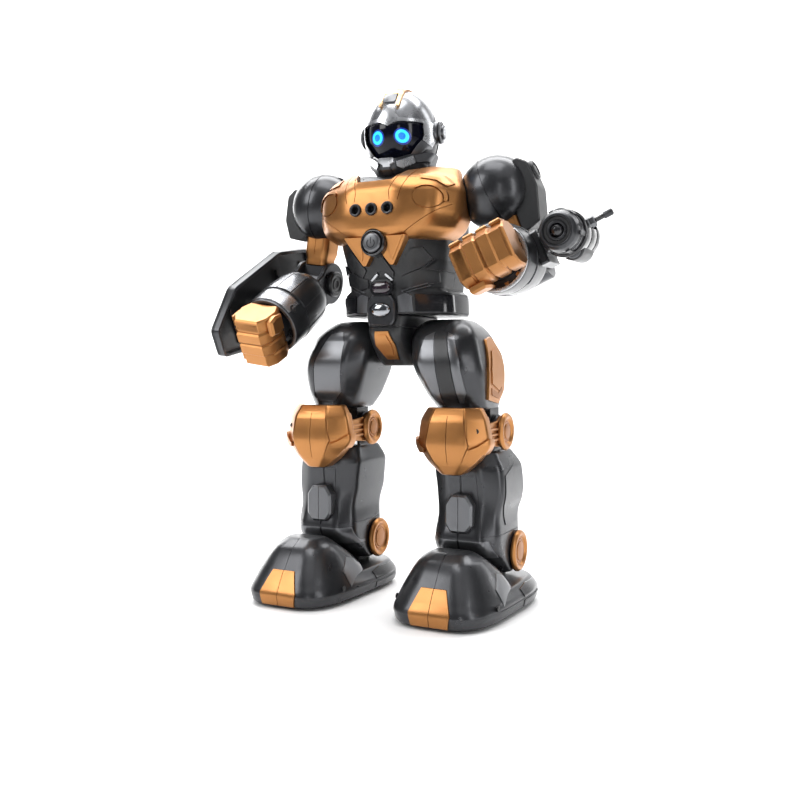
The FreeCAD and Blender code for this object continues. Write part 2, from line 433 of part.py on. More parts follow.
    # Fist: four folded fingers stacked across Y, thumb folded over the palm on the inner side.
    hand = [(-92.0, p8(0, 9.5, -17, 17, 7, 7, 2, 2)), (-86.0, p8(0, 14, -18.2, 18.2, 11, 11, 2.5, 2.5)), (-74.0, p8(0, 15, -18.6, 18.6, 12, 12, 2.5, 2.5)), (-66.0, p8(0, 11.5, -14.5, 14.5, 8, 8, 3, 3))]
    fist = fuse(f"fist_solid_{n}", [loft(f"fist_block_{n}", [(z, [(sx * x, y) for x, y in p]) for z, p in hand]), cyl(f"wrist_plug_{n}", 13.5, 6.4, (0, 0, -67.0)),
                                    cyl(f"wrist_pin_{n}", "wrist_rad", 12, (0, 0, -62.0)), cyl(f"wrist_flange_{n}", 8.0, 3.0, (0, 0, -56.8)),
                                    loft(f"thumb_{n}", [(-86.0, [(-sx * x, y) for x, y in [(13, -15), (17, -14), (17, -7), (13, -5)]]), (-72.0, [(-sx * x, y) for x, y in [(13, -17), (17.5, -16), (18, -6), (13, -4)]])])])
    grooves = []
    for i, gy in enumerate((-9.2, 0.0, 9.2)):
        grooves.append(span(f"finger_front_{n}_{i}", -20, 20, gy - 0.7, gy + 0.7, -95, -89.2))
        grooves.append(span(f"finger_out_{n}_{i}", *((11.6, 20) if sx > 0 else (-20, -11.6)), gy - 0.7, gy + 0.7, -95, -78))
        if i:
            grooves.append(span(f"finger_in_{n}_{i}", *((-20, -11.6) if sx > 0 else (11.6, 20)), gy - 0.7, gy + 0.7, -95, -78))
    # the left fist is held with its back up, the right one with its thumb up
    node(f"fist_{n}", cut(f"fist_cut_{n}", fist, *grooves), fore * Placement(Vector(), Rotation(Vector(0, 0, 1), -90)) if sx > 0 else fore)

# Shield on the right forearm's outer side (local -X): a bent plate with a turned-in rim and two clip pegs.
_, _, fore_r = arm_frames(-1, d("cant_right"), d("bend_right"))
PROFILE = [(-25, 24), (-31, -4), (-32.5, -60), (-27, -98), (-24.2, -97.6), (-29.8, -60), (-28.3, -4.4), (-22.4, 23.2)]
OUTLINE = [(-15, 23), (10, 23), (24, -8), (25, -64), (10, -97), (-11, -97), (-26, -64), (-26, -6)]
plate = common("shield_plate", prism("shield_profile", PROFILE, "XZ", -30, 30), prism("shield_outline", OUTLINE, "YZ", -40, -15))
rim_profile = [(-25, 24), (-31, -4), (-32.5, -60), (-27, -98), (-20.6, -97.2), (-26.0, -60), (-24.6, -4.6), (-18.8, 22.6)]
rim = cut("shield_rim", common("rim_common", prism("rim_profile", rim_profile, "XZ", -30, 30), prism("rim_outline", OUTLINE, "YZ", -40, -15)), prism("rim_hole", [(y * 0.89, -37.0 + (z + 37.0) * 0.955) for y, z in OUTLINE], "YZ", -29.8, -10))
pegs = [cyl(f"shield_peg_{i}", 4.5, 13.0, (-31.0, 0, z), "X") for i, z in enumerate((-30.0, -50.0))]
shield_room = loft("shield_room", [(z, circle(c["a"] + 0.12)) for z, c in FORE], False)
node("shield", cut("shield_all", fuse("shield_solid", [plate, rim] + pegs), shield_room), fore_r)

# Launcher on the left forearm's outer side (local +X): housing, barrel, dart and cocking handle.
_, _, fore_l = arm_frames(1, d("cant_left"), d("bend_left"))
BX, BY = d("barrel_x"), d("barrel_y")
lobes = [cyl(f"lobe_{i}", 7.5, 26, (BX + 9.5 * math.cos(math.radians(a)), BY + 9.5 * math.sin(math.radians(a)), -46.0)) for i, a in enumerate((90, 270))]
mount_block = span("launcher_foot", 16, 27, BY - 6, BY + 6, -46, -24)
housing = fuse("housing_solid", [cyl("housing_core", 14.5, 34, ("barrel_x", "barrel_y", -50.0)), mount_block] + lobes)
dart_bore = cyl("dart_bore", 4.35, 60, ("barrel_x", "barrel_y", -66.0 - 12))
slot = span("handle_slot", BX + 8.0, BX + 20, BY - 2.7, BY + 2.7, -46, -23)
fore_room = loft("fore_room", [(z, circle(c["a"] + 0.12)) for z, c in FORE], False)
node("launcher_body", cut("housing", housing, fore_room, dart_bore, slot), fore_l)
node("launcher_barrel", body_revolve("barrel", [(4.35, 0), (12.6, 0), (12.6, 5), (11.2, 5), (11.2, 6.4), (12.4, 6.4), (12.4, 11), (11.4, 14.5), (9.8, 17), (8.6, 17), (8.2, 15.4), (6.2, 15.4), (5.8, 16.4), (4.35, 16.4)], ("barrel_x", "barrel_y", -50.1), "-Z"), fore_l)
node("dart", body_revolve("dart_body", [(0, 0), (4.05, 0), (4.05, 30), (4.0, 32), (3.4, 34.2), (2.3, 35.6), (1.0, 36.3), (0, 36.4)], ("barrel_x", "barrel_y", -32.0), "-Z"), fore_l)
handle = fuse("handle_solid", [span("handle_slider", BX + 9.0, BX + 15.4, BY - 2.4, BY + 2.4, -45, -38), cyl("handle_collar", 3.6, 3.4, (BX + 15.3, "barrel_y", -41.5), "X"),
                               cyl("handle_rod", 1.6, 15.0, (BX + 15.3, "barrel_y", -41.5), "X")])
node("cocking_handle", handle, fore_l)

# ------------------------------------------------------------------ legs
THIGH = [
    (133.5, (50.0, 17.2, -25, 17, 9, 10, 8, 7)), (146.0, (47.0, 21.2, -35, 23.5, 12, 12, 11, 10)), (166.0, (42.8, 25.0, -41, 25, 14, 13, 12, 11)),
    (181.0, (39.6, 24, -36, 21, 13, 12, 11, 9)), (190.0, (37.0, 20.5, -27, 16, 11, 11, 8, 6)), (196.0, (35.5, 15, -16, 8, 8, 8, 4, 4)),
]
SHIN = [
    (22.0, (55.3, 24, -4, 26, 19, 17, 4, 7)), (47.0, (55.3, 24, -32, 29, 14, 14, 11, 10)), (62.0, (55.6, 22.5, -28, 35, 12, 12, 8, 13)),
    (77.0, (56.0, 24.5, -26, 42, 11, 12, 8, 16)), (93.0, (54.6, 25.0, -27, 40, 11, 13, 9, 15)), (106.0, (53.0, 20.5, -21, 28, 10, 11, 7, 10)),
]
FOOT_LOW = [(-20, -82), (20, -82), (30, -71), (35, -51), (37, -20), (38, 3), (35, 24), (24, 35), (-24, 35), (-35, 24), (-38, 3), (-37, -20), (-35, -51), (-30, -71)]
FOOT_MID = [(x * 1.035, y * 1.02) for x, y in FOOT_LOW]
FOOT_TOP = [(-18, -78), (18, -78), (28, -67), (33, -48), (34, -20), (34, 3), (31, 22), (21, 32), (-21, 32), (-31, 22), (-34, 3), (-34, -20), (-33, -48), (-28, -67)]
DOME_0 = [(-18, -78), (18, -78), (28, -67), (33, -48), (32.5, -20), (22, -9), (-22, -9), (-32.5, -20), (-33, -48), (-28, -67)]
DOME_1 = [(-15, -73), (15, -73), (24, -64), (29, -48), (28, -29), (20, -20), (-20, -20), (-28, -29), (-29, -48), (-24, -64)]
DOME_2 = [(-12, -65), (12, -65), (18.5, -58), (22.5, -47), (21, -38), (14, -33.5), (-14, -33.5), (-21, -38), (-22.5, -47), (-18.5, -58)]
DOME_3 = [(-8, -56), (8, -56), (12, -53), (14, -47), (13, -42), (9, -39.5), (-9, -39.5), (-13, -42), (-14, -47), (-12, -53)]


def shifted(pts, cx, cy_scale=1.0, k=1.0, oy=0.0):
    return [(cx + x * k, oy + (y - oy) * cy_scale) for x, y in pts]


def inset(pts, t):
    """The convex outline moved in by t."""
    area = sum(x0 * y1 - x1 * y0 for (x0, y0), (x1, y1) in zip(pts, pts[1:] + pts[:1]))
    s = 1 if area > 0 else -1
    lines = []
    for (x0, y0), (x1, y1) in zip(pts, pts[1:] + pts[:1]):
        dx, dy = x1 - x0, y1 - y0
        m = math.hypot(dx, dy)
        nx, ny = -dy / m * s, dx / m * s
        lines.append((nx, ny, nx * (x0 + nx * t) + ny * (y0 + ny * t)))
    out = []
    for (a1, b1, c1), (a2, b2, c2) in zip([lines[-1]] + lines[:-1], lines):
        det = a1 * b2 - a2 * b1
        out.append(((c1 * b2 - c2 * b1) / det, (a1 * c2 - a2 * c1) / det))
    return out


W = d("wall")
for n, sx in (("left", 1), ("right", -1)):
    fx, kx, axx = sx * d("foot_x"), sx * d("knee_x"), sx * d("ankle_x")
    out_ax = "X" if sx > 0 else "-X"

    def both(name, r, a, b, cx, y, z):
        """Two cylinders along X, from a to b outwards on each side of cx."""
        return [cyl(f"{name}_{k}", r, b - a, (cx + k * a, y, z), "X" if k > 0 else "-X") for k in (1, -1)]

    # thigh: two shell halves, hip bore boss inside, knee knuckle below
    t_outer = p8_loft(f"thigh_outer_{n}", THIGH, sx)
    t_inner = p8_loft(f"thigh_inner_{n}", shell_sections(THIGH, W, top=193.8, bottom=135.7), sx)
    hip_boss = cyl(f"hip_boss_{n}", 9.0, 13.5, (sx * 17.4, "hip_y", "hip_z"), out_ax)
    knuckle = cyl(f"knee_knuckle_{n}", 11.0, 31.0, (kx - 15.5, 0.0, "knee_z"), "X")
    neck = span(f"knee_neck_{n}", kx - 15.5, kx + 15.5, -8.5, 8.5, 119, 135)
    thigh = cut(f"thigh_{n}", fuse(f"thigh_solid_{n}", [cut(f"thigh_hollow_{n}", t_outer, t_inner), common(f"hip_boss_in_{n}", hip_boss, t_outer), knuckle, neck]),
                cyl(f"hip_bore_{n}", "hip_pin_rad + run_gap", 24, (sx * 8.0, "hip_y", "hip_z"), out_ax), cyl(f"knee_bore_{n}", "pin_rad + run_gap", 40, (kx - 20, 0.0, "knee_z"), "X"))
    node(f"thigh_shell_{n}", halves(f"thigh_h_{n}", thigh, sx * 43.0))
    skin = p8_loft(f"panel_skin_{n}", [(z, (a[0], a[1] + 1.8, a[2] - 1.8, a[3] + 1.8, a[4], a[5], a[6], a[7])) for z, a in THIGH], sx)
    area = prism(f"panel_area_{n}", [(-17, 141), (2, 138), (13, 148), (12, 172), (1, 184), (-10, 182), (-18, 162)], "YZ", sx * 52, sx * 80)
    node(f"thigh_panel_{n}", cut(f"panel_{n}", common(f"panel_c_{n}", skin, area), t_outer))

    # shin: two shell halves, knee clevis on top, ankle bosses inside
    s_outer = p8_loft(f"shin_outer_{n}", SHIN, sx)
    s_inner = p8_loft(f"shin_inner_{n}", shell_sections(SHIN, W, top=103.8, bottom=20.5), sx)
    clevis = both(f"clevis_{n}", 11.5, 16.2, 19.2, kx, 0.0, "knee_z")
    clevis += [span(f"clevis_leg_{n}_{k}", kx + min(k * 16.2, k * 19.2), kx + max(k * 16.2, k * 19.2), -10.5, 10.5, 104.5, 119) for k in (1, -1)]
    bosses = both(f"ankle_boss_{n}", 6.5, 14.3, 22.6, axx, "ankle_y", "ankle_z")
    shin = cut(f"shin_{n}", fuse(f"shin_solid_{n}", [cut(f"shin_hollow_{n}", s_outer, s_inner)] + clevis + bosses),
               cyl(f"shin_knee_bore_{n}", "pin_rad + 0.05", 60, (kx - 30, 0.0, "knee_z"), "X"), cyl(f"shin_ankle_bore_{n}", "pin_rad + 0.05", 70, (axx - 35, "ankle_y", "ankle_z"), "X"))
    node(f"shin_shell_{n}", halves(f"shin_h_{n}", shin, sx * 53.6))

    # kneecap: a faceted shield with an arm to each knee pivot
    CAP = [(92.0, (7, -42, 2)), (102.0, (18.5, -47, 8)), (113.0, (25.2, -49, 12)), (127.0, (23.5, -47.5, 10)), (136.5, (19, -42.5, 7))]
    cap_out = loft(f"cap_out_{n}", [(z, [(kx - w, -29), (kx - w, yf + c), (kx - w * 0.55, yf), (kx + w * 0.55, yf), (kx + w, yf + c), (kx + w, -29)]) for z, (w, yf, c) in CAP])
    cap_in = loft(f"cap_in_{n}", [(z, [(kx - w, -20), (kx - w, yf + c), (kx - w * 0.5, yf), (kx + w * 0.5, yf), (kx + w, yf + c), (kx + w, -20)]) for z, (w, yf, c) in [(90.0, (3.0, -38, 2)), (102.0, (15.9, -44.1, 8)), (113.0, (22.6, -46.2, 12)), (127.0, (20.9, -44.7, 10)), (138.5, (15.6, -38.6, 7))]])
    arms = []
    for k in (1, -1):
        lo, hi = sorted((kx + k * 19.4, kx + k * 22.0))
        arms += [span(f"cap_arm_{n}_{k}", lo, hi, -34.5, 0, 112.5, 124), cyl(f"cap_eye_{n}_{k}", 11.0, 2.6, (kx + k * 19.4, 0.0, "knee_z"), "X" if k > 0 else "-X")]
    cap = cut(f"cap_{n}", fuse(f"cap_solid_{n}", [cut(f"cap_shell_{n}", cap_out, cap_in, span(f"cap_relief_{n}", kx - 30, kx + 30, -31.0, -20, 130.5, 142))] + arms), cyl(f"cap_bore_{n}", "pin_rad + 0.05", 60, (kx - 30, 0.0, "knee_z"), "X"))
    node(f"kneecap_{n}", cap)

    # pivot caps: a disc and its pin, two at the knee and two at the ankle
    def pivot(name, r, x_in, x_disc, cx, y, z, k):
        h = x_disc - x_in
        return body_revolve(name, [(0, 0), (3.0, 0), (3.0, h), (r, h), (r, h + 2.2), (r - 1.3, h + 3.7), (r - 4.2, h + 3.7), (r - 5.0, h + 2.4), (0, h + 2.4)], (cx + k * x_in, y, z), "X" if k > 0 else "-X")

    caps = [pivot(f"knee_cap_{n}_{k + 1}", d("knee_disc_rad"), 7.0, 22.2, kx, 0.0, "knee_z", k) for k in (-1, 1)]
    caps += [pivot(f"ankle_cap_{n}_{k + 1}", d("ankle_disc_rad"), 5.0, 24.5, axx, "ankle_y", "ankle_z", k) for k in (-1, 1)]
    node(f"pivot_caps_{n}", caps)

    # foot: two upper halves, ankle boss, gold toe cap, sole with wheel windows
    f_outer = [loft(f"foot_base_{n}", [(2.0, shifted(FOOT_LOW, fx)), (9.0, shifted(FOOT_MID, fx)), (18.0, shifted(FOOT_TOP, fx))]),
               loft(f"foot_dome_{n}", [(17.9, shifted(DOME_0, fx)), (28.0, shifted(DOME_1, fx)), (38.0, shifted(DOME_2, fx)), (43.5, shifted(DOME_3, fx))]),
               loft(f"foot_heel_{n}", [(17.9, shifted([(-20, 28.0), (20, 28.0), (19, 31.8), (-19, 31.8)], fx)), (23.0, shifted([(-16, 28.4), (16, 28.4), (14, 30.5), (-14, 30.5)], fx))])]
    f_inner = fuse(f"foot_inner_{n}", [loft(f"foot_base_in_{n}", [(1.0, inset(shifted(FOOT_LOW, fx), 2.2)), (9.0, inset(shifted(FOOT_MID, fx), 2.2)), (16.2, inset(shifted(FOOT_TOP, fx), 2.4))]),
                                       loft(f"foot_dome_in_{n}", [(15.0, inset(shifted(DOME_0, fx), 2.6)), (28.0, inset(shifted(DOME_1, fx), 2.6)), (37.0, inset(shifted(DOME_2, fx), 2.8)), (41.2, inset(shifted(DOME_3, fx), 2.0))])])
    a_boss = fuse(f"foot_boss_{n}", [cyl(f"foot_boss_c_{n}", 10.5, 27.0, (axx - 13.5, "ankle_y", "ankle_z"), "X"), span(f"foot_boss_b_{n}", axx - 13.5, axx + 13.5, 3.5, 20.5, 17, 35)])
    toe_area = prism(f"toe_area_{n}", [(fx + x, z) for x, z in [(-12.5, 1), (12.5, 1), (14, 11), (8.5, 25), (-8.5, 25), (-14, 11)]], "XZ", -95, -60)
    foot_solid = fuse(f"foot_solid_{n}", [cut(f"foot_hollow_{n}", fuse(f"foot_outer_{n}", f_outer), f_inner), a_boss])
    foot = cut(f"foot_{n}", foot_solid, cyl(f"foot_bore_{n}", "pin_rad + run_gap", 50, (axx - 25, "ankle_y", "ankle_z"), "X"), toe_area)
    node(f"foot_shell_{n}", halves(f"foot_h_{n}", foot, fx))
    toe_small = prism(f"toe_small_{n}", [(fx + x, z) for x, z in [(-12.35, 1), (12.35, 1), (13.85, 11), (8.4, 24.85), (-8.4, 24.85), (-13.85, 11)]], "XZ", -95, -60.2)
    toe_skin = fuse(f"toe_skin_{n}", [loft(f"toe_skin_a_{n}", [(2.0, inset(shifted(FOOT_LOW, fx), -1.2)), (9.0, inset(shifted(FOOT_MID, fx), -1.2)), (18.0, inset(shifted(FOOT_TOP, fx), -1.0))]),
                                      loft(f"toe_skin_b_{n}", [(17.9, inset(shifted(DOME_0, fx), -1.0)), (28.0, inset(shifted(DOME_1, fx), -1.0))])])
    node(f"toe_cap_{n}", common(f"toe_{n}", cut(f"toe_hollow_{n}", toe_skin, f_inner), toe_small))
    sole_out = inset(shifted(FOOT_LOW, fx), 2.6)
    wheel_y, roller_y = d("wheel_y"), d("roller_y")
    blocks = []
    for k in (1, -1):
        lo, hi = sorted((fx + k * 13.5, fx + k * 17.5))
        blocks.append(span(f"wheel_bearing_{n}_{k}", lo, hi, wheel_y - 4.5, wheel_y + 4.5, 3, 12))
        lo, hi = sorted((fx + k * 16.6, fx + k * 20))
        blocks.append(span(f"roller_bearing_{n}_{k}", lo, hi, roller_y - 3.5, roller_y + 3.5, 3, 8.5))
    sole_tools = [cyl(f"wheel_axle_bore_{n}", "axle_rad + run_gap", 60, (fx - 30, "wheel_y", "wheel_rad"), "X"), cyl(f"roller_axle_bore_{n}", "roller_axle_rad + run_gap", 50, (fx - 25, "roller_y", "roller_rad"), "X")]
    for k in (1, -1):
        lo, hi = sorted((fx + k * 20.8, fx + k * 29.2))
        sole_tools.append(span(f"wheel_window_{n}_{k}", lo, hi, wheel_y - 8.4, wheel_y + 8.4, 0, 5))
        lo, hi = sorted((fx + k * 9.2, fx + k * 16.0))
        sole_tools.append(span(f"roller_window_{n}_{k}", lo, hi, roller_y - 6, roller_y + 6, 0, 5))
    sole_body = body_pad(f"sole_{n}", sole_out, 2.0, (0.0, 0.0, "sole_z"))
    node(f"sole_plate_{n}", cut(f"sole_cut_{n}", fuse(f"sole_solid_{n}", [sole_body] + blocks), *sole_tools))
    gearbox = fuse(f"foot_gear_{n}", [span(f"foot_gear_box_{n}", fx - 9, fx + 9, 6, 29, 4.4, 15.6), cyl(f"foot_motor_{n}", 5.5, 22.0, (fx, -15.5, 10.0), "Y")])
    node(f"foot_gearbox_{n}", cut(f"foot_gear_cut_{n}", gearbox, cyl(f"gear_axle_bore_{n}", "axle_rad + run_gap", 40, (fx - 20, "wheel_y", "wheel_rad"), "X")))
    wheels = [body_revolve(f"drive_turn_{n}", [(0, -29.0), (1.5, -29.0), (1.5, -28.5), (4.0, -28.5), (4.6, -27.6), (5.6, -27.6), (6.2, -28.5), (6.9, -28.5), (7.5, -27.9), (7.5, -22.1), (6.9, -21.5), (1.5, -21.5),
                                              (1.5, 21.5), (6.9, 21.5), (7.5, 22.1), (7.5, 27.9), (6.9, 28.5), (6.2, 28.5), (5.6, 27.6), (4.6, 27.6), (4.0, 28.5), (1.5, 28.5), (1.5, 29.0), (0, 29.0)], (fx, "wheel_y", "wheel_rad"), "X")]
    node(f"drive_wheels_{n}", wheels)
    node(f"front_rollers_{n}", body_revolve(f"roller_turn_{n}", [(0, -20.3), (1.2, -20.3), (1.2, -15.2), (4.6, -15.2), (5.0, -14.8), (5.0, -10.2), (4.6, -9.8), (1.2, -9.8),
                                                              (1.2, 9.8), (4.6, 9.8), (5.0, 10.2), (5.0, 14.8), (4.6, 15.2), (1.2, 15.2), (1.2, 20.3), (0, 20.3)], (fx, "roller_y", "roller_rad"), "X"))

doc.recompute()
bad = [f"{o.Name} {o.State}" for o in doc.Objects if any(s in ("Invalid", "Error") for s in o.State)]
if bad:
    print("FAILED OBJECTS:", bad[:20])
problems = list(bad)
facts = {}
for label, o in sorted(NODES.items()):
    s = o.Shape
    if s.isNull() or not s.isValid() or not s.Solids:
        problems.append(f"{label}: null, invalid or empty")
        continue
    loose = [x for x in s.Solids if x.Volume < 1.0]
    facts[label] = (len(s.Solids), round(s.Volume, 1), [round(v, 1) for v in (s.BoundBox.XMin, s.BoundBox.YMin, s.BoundBox.ZMin, s.BoundBox.XMax, s.BoundBox.YMax, s.BoundBox.ZMax)], len(loose))
if problems:
    raise SystemExit("not written: " + "; ".join(problems))
box_all = None
for label, o in sorted(NODES.items()):
    o.Shape.exportStep(f"parts/{label}.step")
    bb = o.Shape.BoundBox
    if box_all is None:
        box_all = bb
    box_all.add(bb)
for label, f in facts.items():
    print(label, *f)
print("nodes", len(NODES), "box", [round(v, 1) for v in (box_all.XMin, box_all.YMin, box_all.ZMin, box_all.XMax, box_all.YMax, box_all.ZMax)])
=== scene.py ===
import bisect
import math

import bmesh
import bpy
from mathutils import Matrix, Vector


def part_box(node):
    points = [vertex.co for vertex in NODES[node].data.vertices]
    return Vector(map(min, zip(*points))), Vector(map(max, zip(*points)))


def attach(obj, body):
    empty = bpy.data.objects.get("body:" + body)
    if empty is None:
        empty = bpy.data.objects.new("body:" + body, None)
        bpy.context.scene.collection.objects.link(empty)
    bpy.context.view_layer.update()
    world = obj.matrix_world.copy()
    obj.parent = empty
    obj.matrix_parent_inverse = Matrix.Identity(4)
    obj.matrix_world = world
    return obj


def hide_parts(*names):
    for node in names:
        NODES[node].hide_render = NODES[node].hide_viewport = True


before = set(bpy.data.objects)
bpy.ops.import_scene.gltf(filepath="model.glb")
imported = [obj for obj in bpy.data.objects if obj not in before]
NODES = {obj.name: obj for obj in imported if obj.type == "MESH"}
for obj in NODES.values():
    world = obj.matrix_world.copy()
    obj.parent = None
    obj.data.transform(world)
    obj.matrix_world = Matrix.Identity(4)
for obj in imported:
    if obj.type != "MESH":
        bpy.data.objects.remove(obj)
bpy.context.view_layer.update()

# Walking humanoid robot. The helpers work in millimetres in the robot's own frame (mid-plane X = 0, facing -Y,
# left side +X) and every vertex is moved into the row frame and scaled to metres when the mesh is made.
scene = bpy.context.scene


def mid(node):
    lo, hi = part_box(node)
    return (lo + hi) / 2


OX = (mid("sole_plate_left").x + mid("sole_plate_right").x) * 500.0
OY = mid("drive_wheels_left").y * 1000.0 - 20.0
T, R = Matrix.Translation, lambda deg, axis: Matrix.Rotation(math.radians(deg), 4, axis)
BASE = T((OX, OY, 0))
HEAD = BASE @ T((0, -7, 0)) @ R(8, "Z") @ T((0, 7, 0))
SIDES = (("left", 1), ("right", -1))
CANT, BEND = {1: 24, -1: 8}, {1: 88, -1: 57}
UPPER = {s: BASE @ T((s * 68, 1, 282)) @ R(-s * CANT[s], "Y") for s in (1, -1)}
FORE = {s: UPPER[s] @ T((0, 0, -55)) @ R(-BEND[s], "X") for s in (1, -1)}
AXES = {"Z": Matrix(), "X": R(90, "Y"), "-X": R(-90, "Y"), "Y": R(-90, "X"), "-Y": R(90, "X"), "-Z": R(180, "X")}


# ------------------------------------------------------------------ meshes
def make(name, verts, faces, m=BASE):
    me = bpy.data.meshes.new(name)
    me.from_pydata([(m @ Vector(v)) * 0.001 for v in verts], [], faces)
    bm = bmesh.new()
    bm.from_mesh(me)
    bmesh.ops.recalc_face_normals(bm, faces=bm.faces)
    bm.to_mesh(me)
    bm.free()
    o = bpy.data.objects.new(name, me)
    scene.collection.objects.link(o)
    return o


def loft(name, rings, m=BASE):
    n = len(rings[0])
    faces = [tuple(range(n))[::-1], tuple((len(rings) - 1) * n + j for j in range(n))]
    for i in range(len(rings) - 1):
        for j in range(n):
            a, b = i * n + j, i * n + (j + 1) % n
            faces.append((a, b, b + n, a + n))
    return make(name, [p for r in rings for p in r], faces, m)


def soft(pts, r, k=4, closed=True):
    """The outline with its corners cut back by r and rounded."""
    out, n = [], len(pts)
    for i in range(n):
        p = Vector(pts[i])
        if not closed and i in (0, n - 1):
            out.append(p)
            continue
        u, v = Vector(pts[i - 1]) - p, Vector(pts[(i + 1) % n]) - p
        lu, lv = max(u.length, 1e-6), max(v.length, 1e-6)
        c = min(r, 0.47 * lu, 0.47 * lv)
        s, e = p + u * (c / lu), p + v * (c / lv)
        for j in range(k + 1):
            t = j / k
            out.append(s * (1 - t) ** 2 + p * 2 * t * (1 - t) + e * t * t)
    return out


def inset(pts, t):
    area = sum(a[0] * b[1] - b[0] * a[1] for a, b in zip(pts, pts[1:] + pts[:1]))
    s = 1 if area > 0 else -1
    lines = []
    for (x0, y0), (x1, y1) in zip(pts, pts[1:] + pts[:1]):
        q = math.hypot(x1 - x0, y1 - y0)
        nx, ny = -(y1 - y0) / q * s, (x1 - x0) / q * s
        lines.append((nx, ny, nx * (x0 + nx * t) + ny * (y0 + ny * t)))
    out = []
    for (a1, b1, c1), (a2, b2, c2) in zip([lines[-1]] + lines[:-1], lines):
        det = a1 * b2 - a2 * b1
        out.append(((c1 * b2 - c2 * b1) / det, (a1 * c2 - a2 * c1) / det))
    return out


def curve(table, z, straight=False):
    """The parameters of a table of (z, numbers) at z, along a monotone cubic."""
    zs = [t[0] for t in table]
    i = max(0, min(len(zs) - 2, bisect.bisect_right(zs, z) - 1))
    h = zs[i + 1] - zs[i]
    t = min(max((z - zs[i]) / h, 0.0), 1.0)
    out = []
    for k in range(len(table[0][1])):
        y = [row[1][k] for row in table]
        if straight:
            out.append(y[i] + (y[i + 1] - y[i]) * t)
            continue
        g = [(y[j + 1] - y[j]) / (zs[j + 1] - zs[j]) for j in range(len(y) - 1)]

        def tan(j):
            if j == 0:
                return g[0]
            if j == len(y) - 1:
                return g[-1]
            return 0.0 if g[j - 1] * g[j] <= 0 else 2 * g[j - 1] * g[j] / (g[j - 1] + g[j])

        m0, m1 = tan(i) * h, tan(i + 1) * h
        out.append((2 * t**3 - 3 * t**2 + 1) * y[i] + (t**3 - 2 * t**2 + t) * m0 + (-2 * t**3 + 3 * t**2) * y[i + 1] + (t**3 - t**2) * m1)
    return out


def p8(a, g=0.0):
    cx, hw, yf, yb, fw, bw, fy, by = a
    hw, yf, yb, fw, bw = hw + g, yf - g, yb + g, fw + 0.4 * g, bw + 0.4 * g
    return [(cx - fw, yf), (cx + fw, yf), (cx + hw, yf + fy), (cx + hw, yb - by), (cx + bw, yb), (cx - bw, yb), (cx - hw, yb - by), (cx - hw, yf + fy)]


def tower(name, table, ring=p8, g=0.0, r=6.0, step=2.0, edge=1.5, z0=None, z1=None, sx=1, m=BASE, straight=False, k=4):
    """A smooth solid through the sections of a table, with rounded top and bottom edges."""
    lo = table[0][0] if z0 is None else z0
    hi = table[-1][0] if z1 is None else z1
    zs = [lo + edge + (hi - lo - 2 * edge) * i / max(int((hi - lo) / step), 2) for i in range(max(int((hi - lo) / step), 2) + 1)]
    zs += [z for z, _ in table if lo + edge < z < hi - edge]
    zs = sorted(zs)
    keep = [zs[0]]
    for z in zs[1:]:
        if z - keep[-1] > 0.25:
            keep.append(z)
    levels = [(z, 0.0) for z in keep]
    if edge > 0:
        turn_in = [(edge * (1 - math.cos(a)), edge * (1 - math.sin(a))) for a in (0.0, math.pi / 8, math.pi / 4, 3 * math.pi / 8)]
        levels = [(lo + dz, di) for dz, di in turn_in] + levels + [(hi - dz, di) for dz, di in turn_in[::-1]]
    rings = []
    for z, di in levels:
        pts = soft(ring(curve(table, z, straight), g - di), r, k)
        rings.append([(sx * p[0], p[1], z) for p in pts])
    return loft(name, rings, m)


LIFT = {"XY": lambda p, h: (p[0], p[1], h), "XZ": lambda p, h: (p[0], h, p[1]), "YZ": lambda p, h: (h, p[0], p[1])}


def prism(name, pts, plane, a, b, m=BASE, r=0.0, edge=0.0):
    """A prism of an outline; with edge, its rims are chamfered."""
    lift = LIFT[plane]
    a, b = min(a, b), max(a, b)
    if edge:
        levels = [(a, edge), (a + edge, 0.0), (b - edge, 0.0), (b, edge)]
    else:
        levels = [(a, 0.0), (b, 0.0)]
    rings = []
    for h, di in levels:
        q = inset(pts, di) if di else pts
        q = soft(q, r, 3) if r else q
        rings.append([lift(p, h) for p in q])
    return loft(name, rings, m)


def block(name, x0, x1, y0, y1, z0, z1, m=BASE, edge=0.0, r=0.0):
    x0, x1, y0, y1 = min(x0, x1), max(x0, x1), min(y0, y1), max(y0, y1)
    return prism(name, [(x0, y0), (x1, y0), (x1, y1), (x0, y1)], "XY", z0, z1, m, r, edge)


def turn(name, profile, at=(0, 0, 0), axis="Z", m=BASE, seg=64, r=0.0, k=2):
    """A turned piece from (radius, height) points: closed, or running from the axis to the axis."""
    on_axis = profile[0][0] == 0 and profile[-1][0] == 0
    pts = soft(profile, r, k, closed=not on_axis) if r else [Vector(p) for p in profile]
    place = m @ T(at) @ AXES[axis]
    verts, rows = [], []
    for p in pts:
        if p[0] < 1e-6:
            rows.append([len(verts)])
            verts.append((0, 0, p[1]))
        else:
            rows.append(list(range(len(verts), len(verts) + seg)))
            verts += [(p[0] * math.cos(2 * math.pi * j / seg), p[0] * math.sin(2 * math.pi * j / seg), p[1]) for j in range(seg)]
    faces = []
    pairs = list(zip(rows, rows[1:])) + ([] if on_axis else [(rows[-1], rows[0])])
    for a, b in pairs:
        for j in range(seg):
            q = (j + 1) % seg
            if len(a) == 1 and len(b) == 1:
                continue
            if len(a) == 1:
                faces.append((a[0], b[j], b[q]))
            elif len(b) == 1:
                faces.append((a[j], b[0], a[q]))
            else:
                faces.append((a[j], b[j], b[q], a[q]))
    return make(name, verts, faces, place)


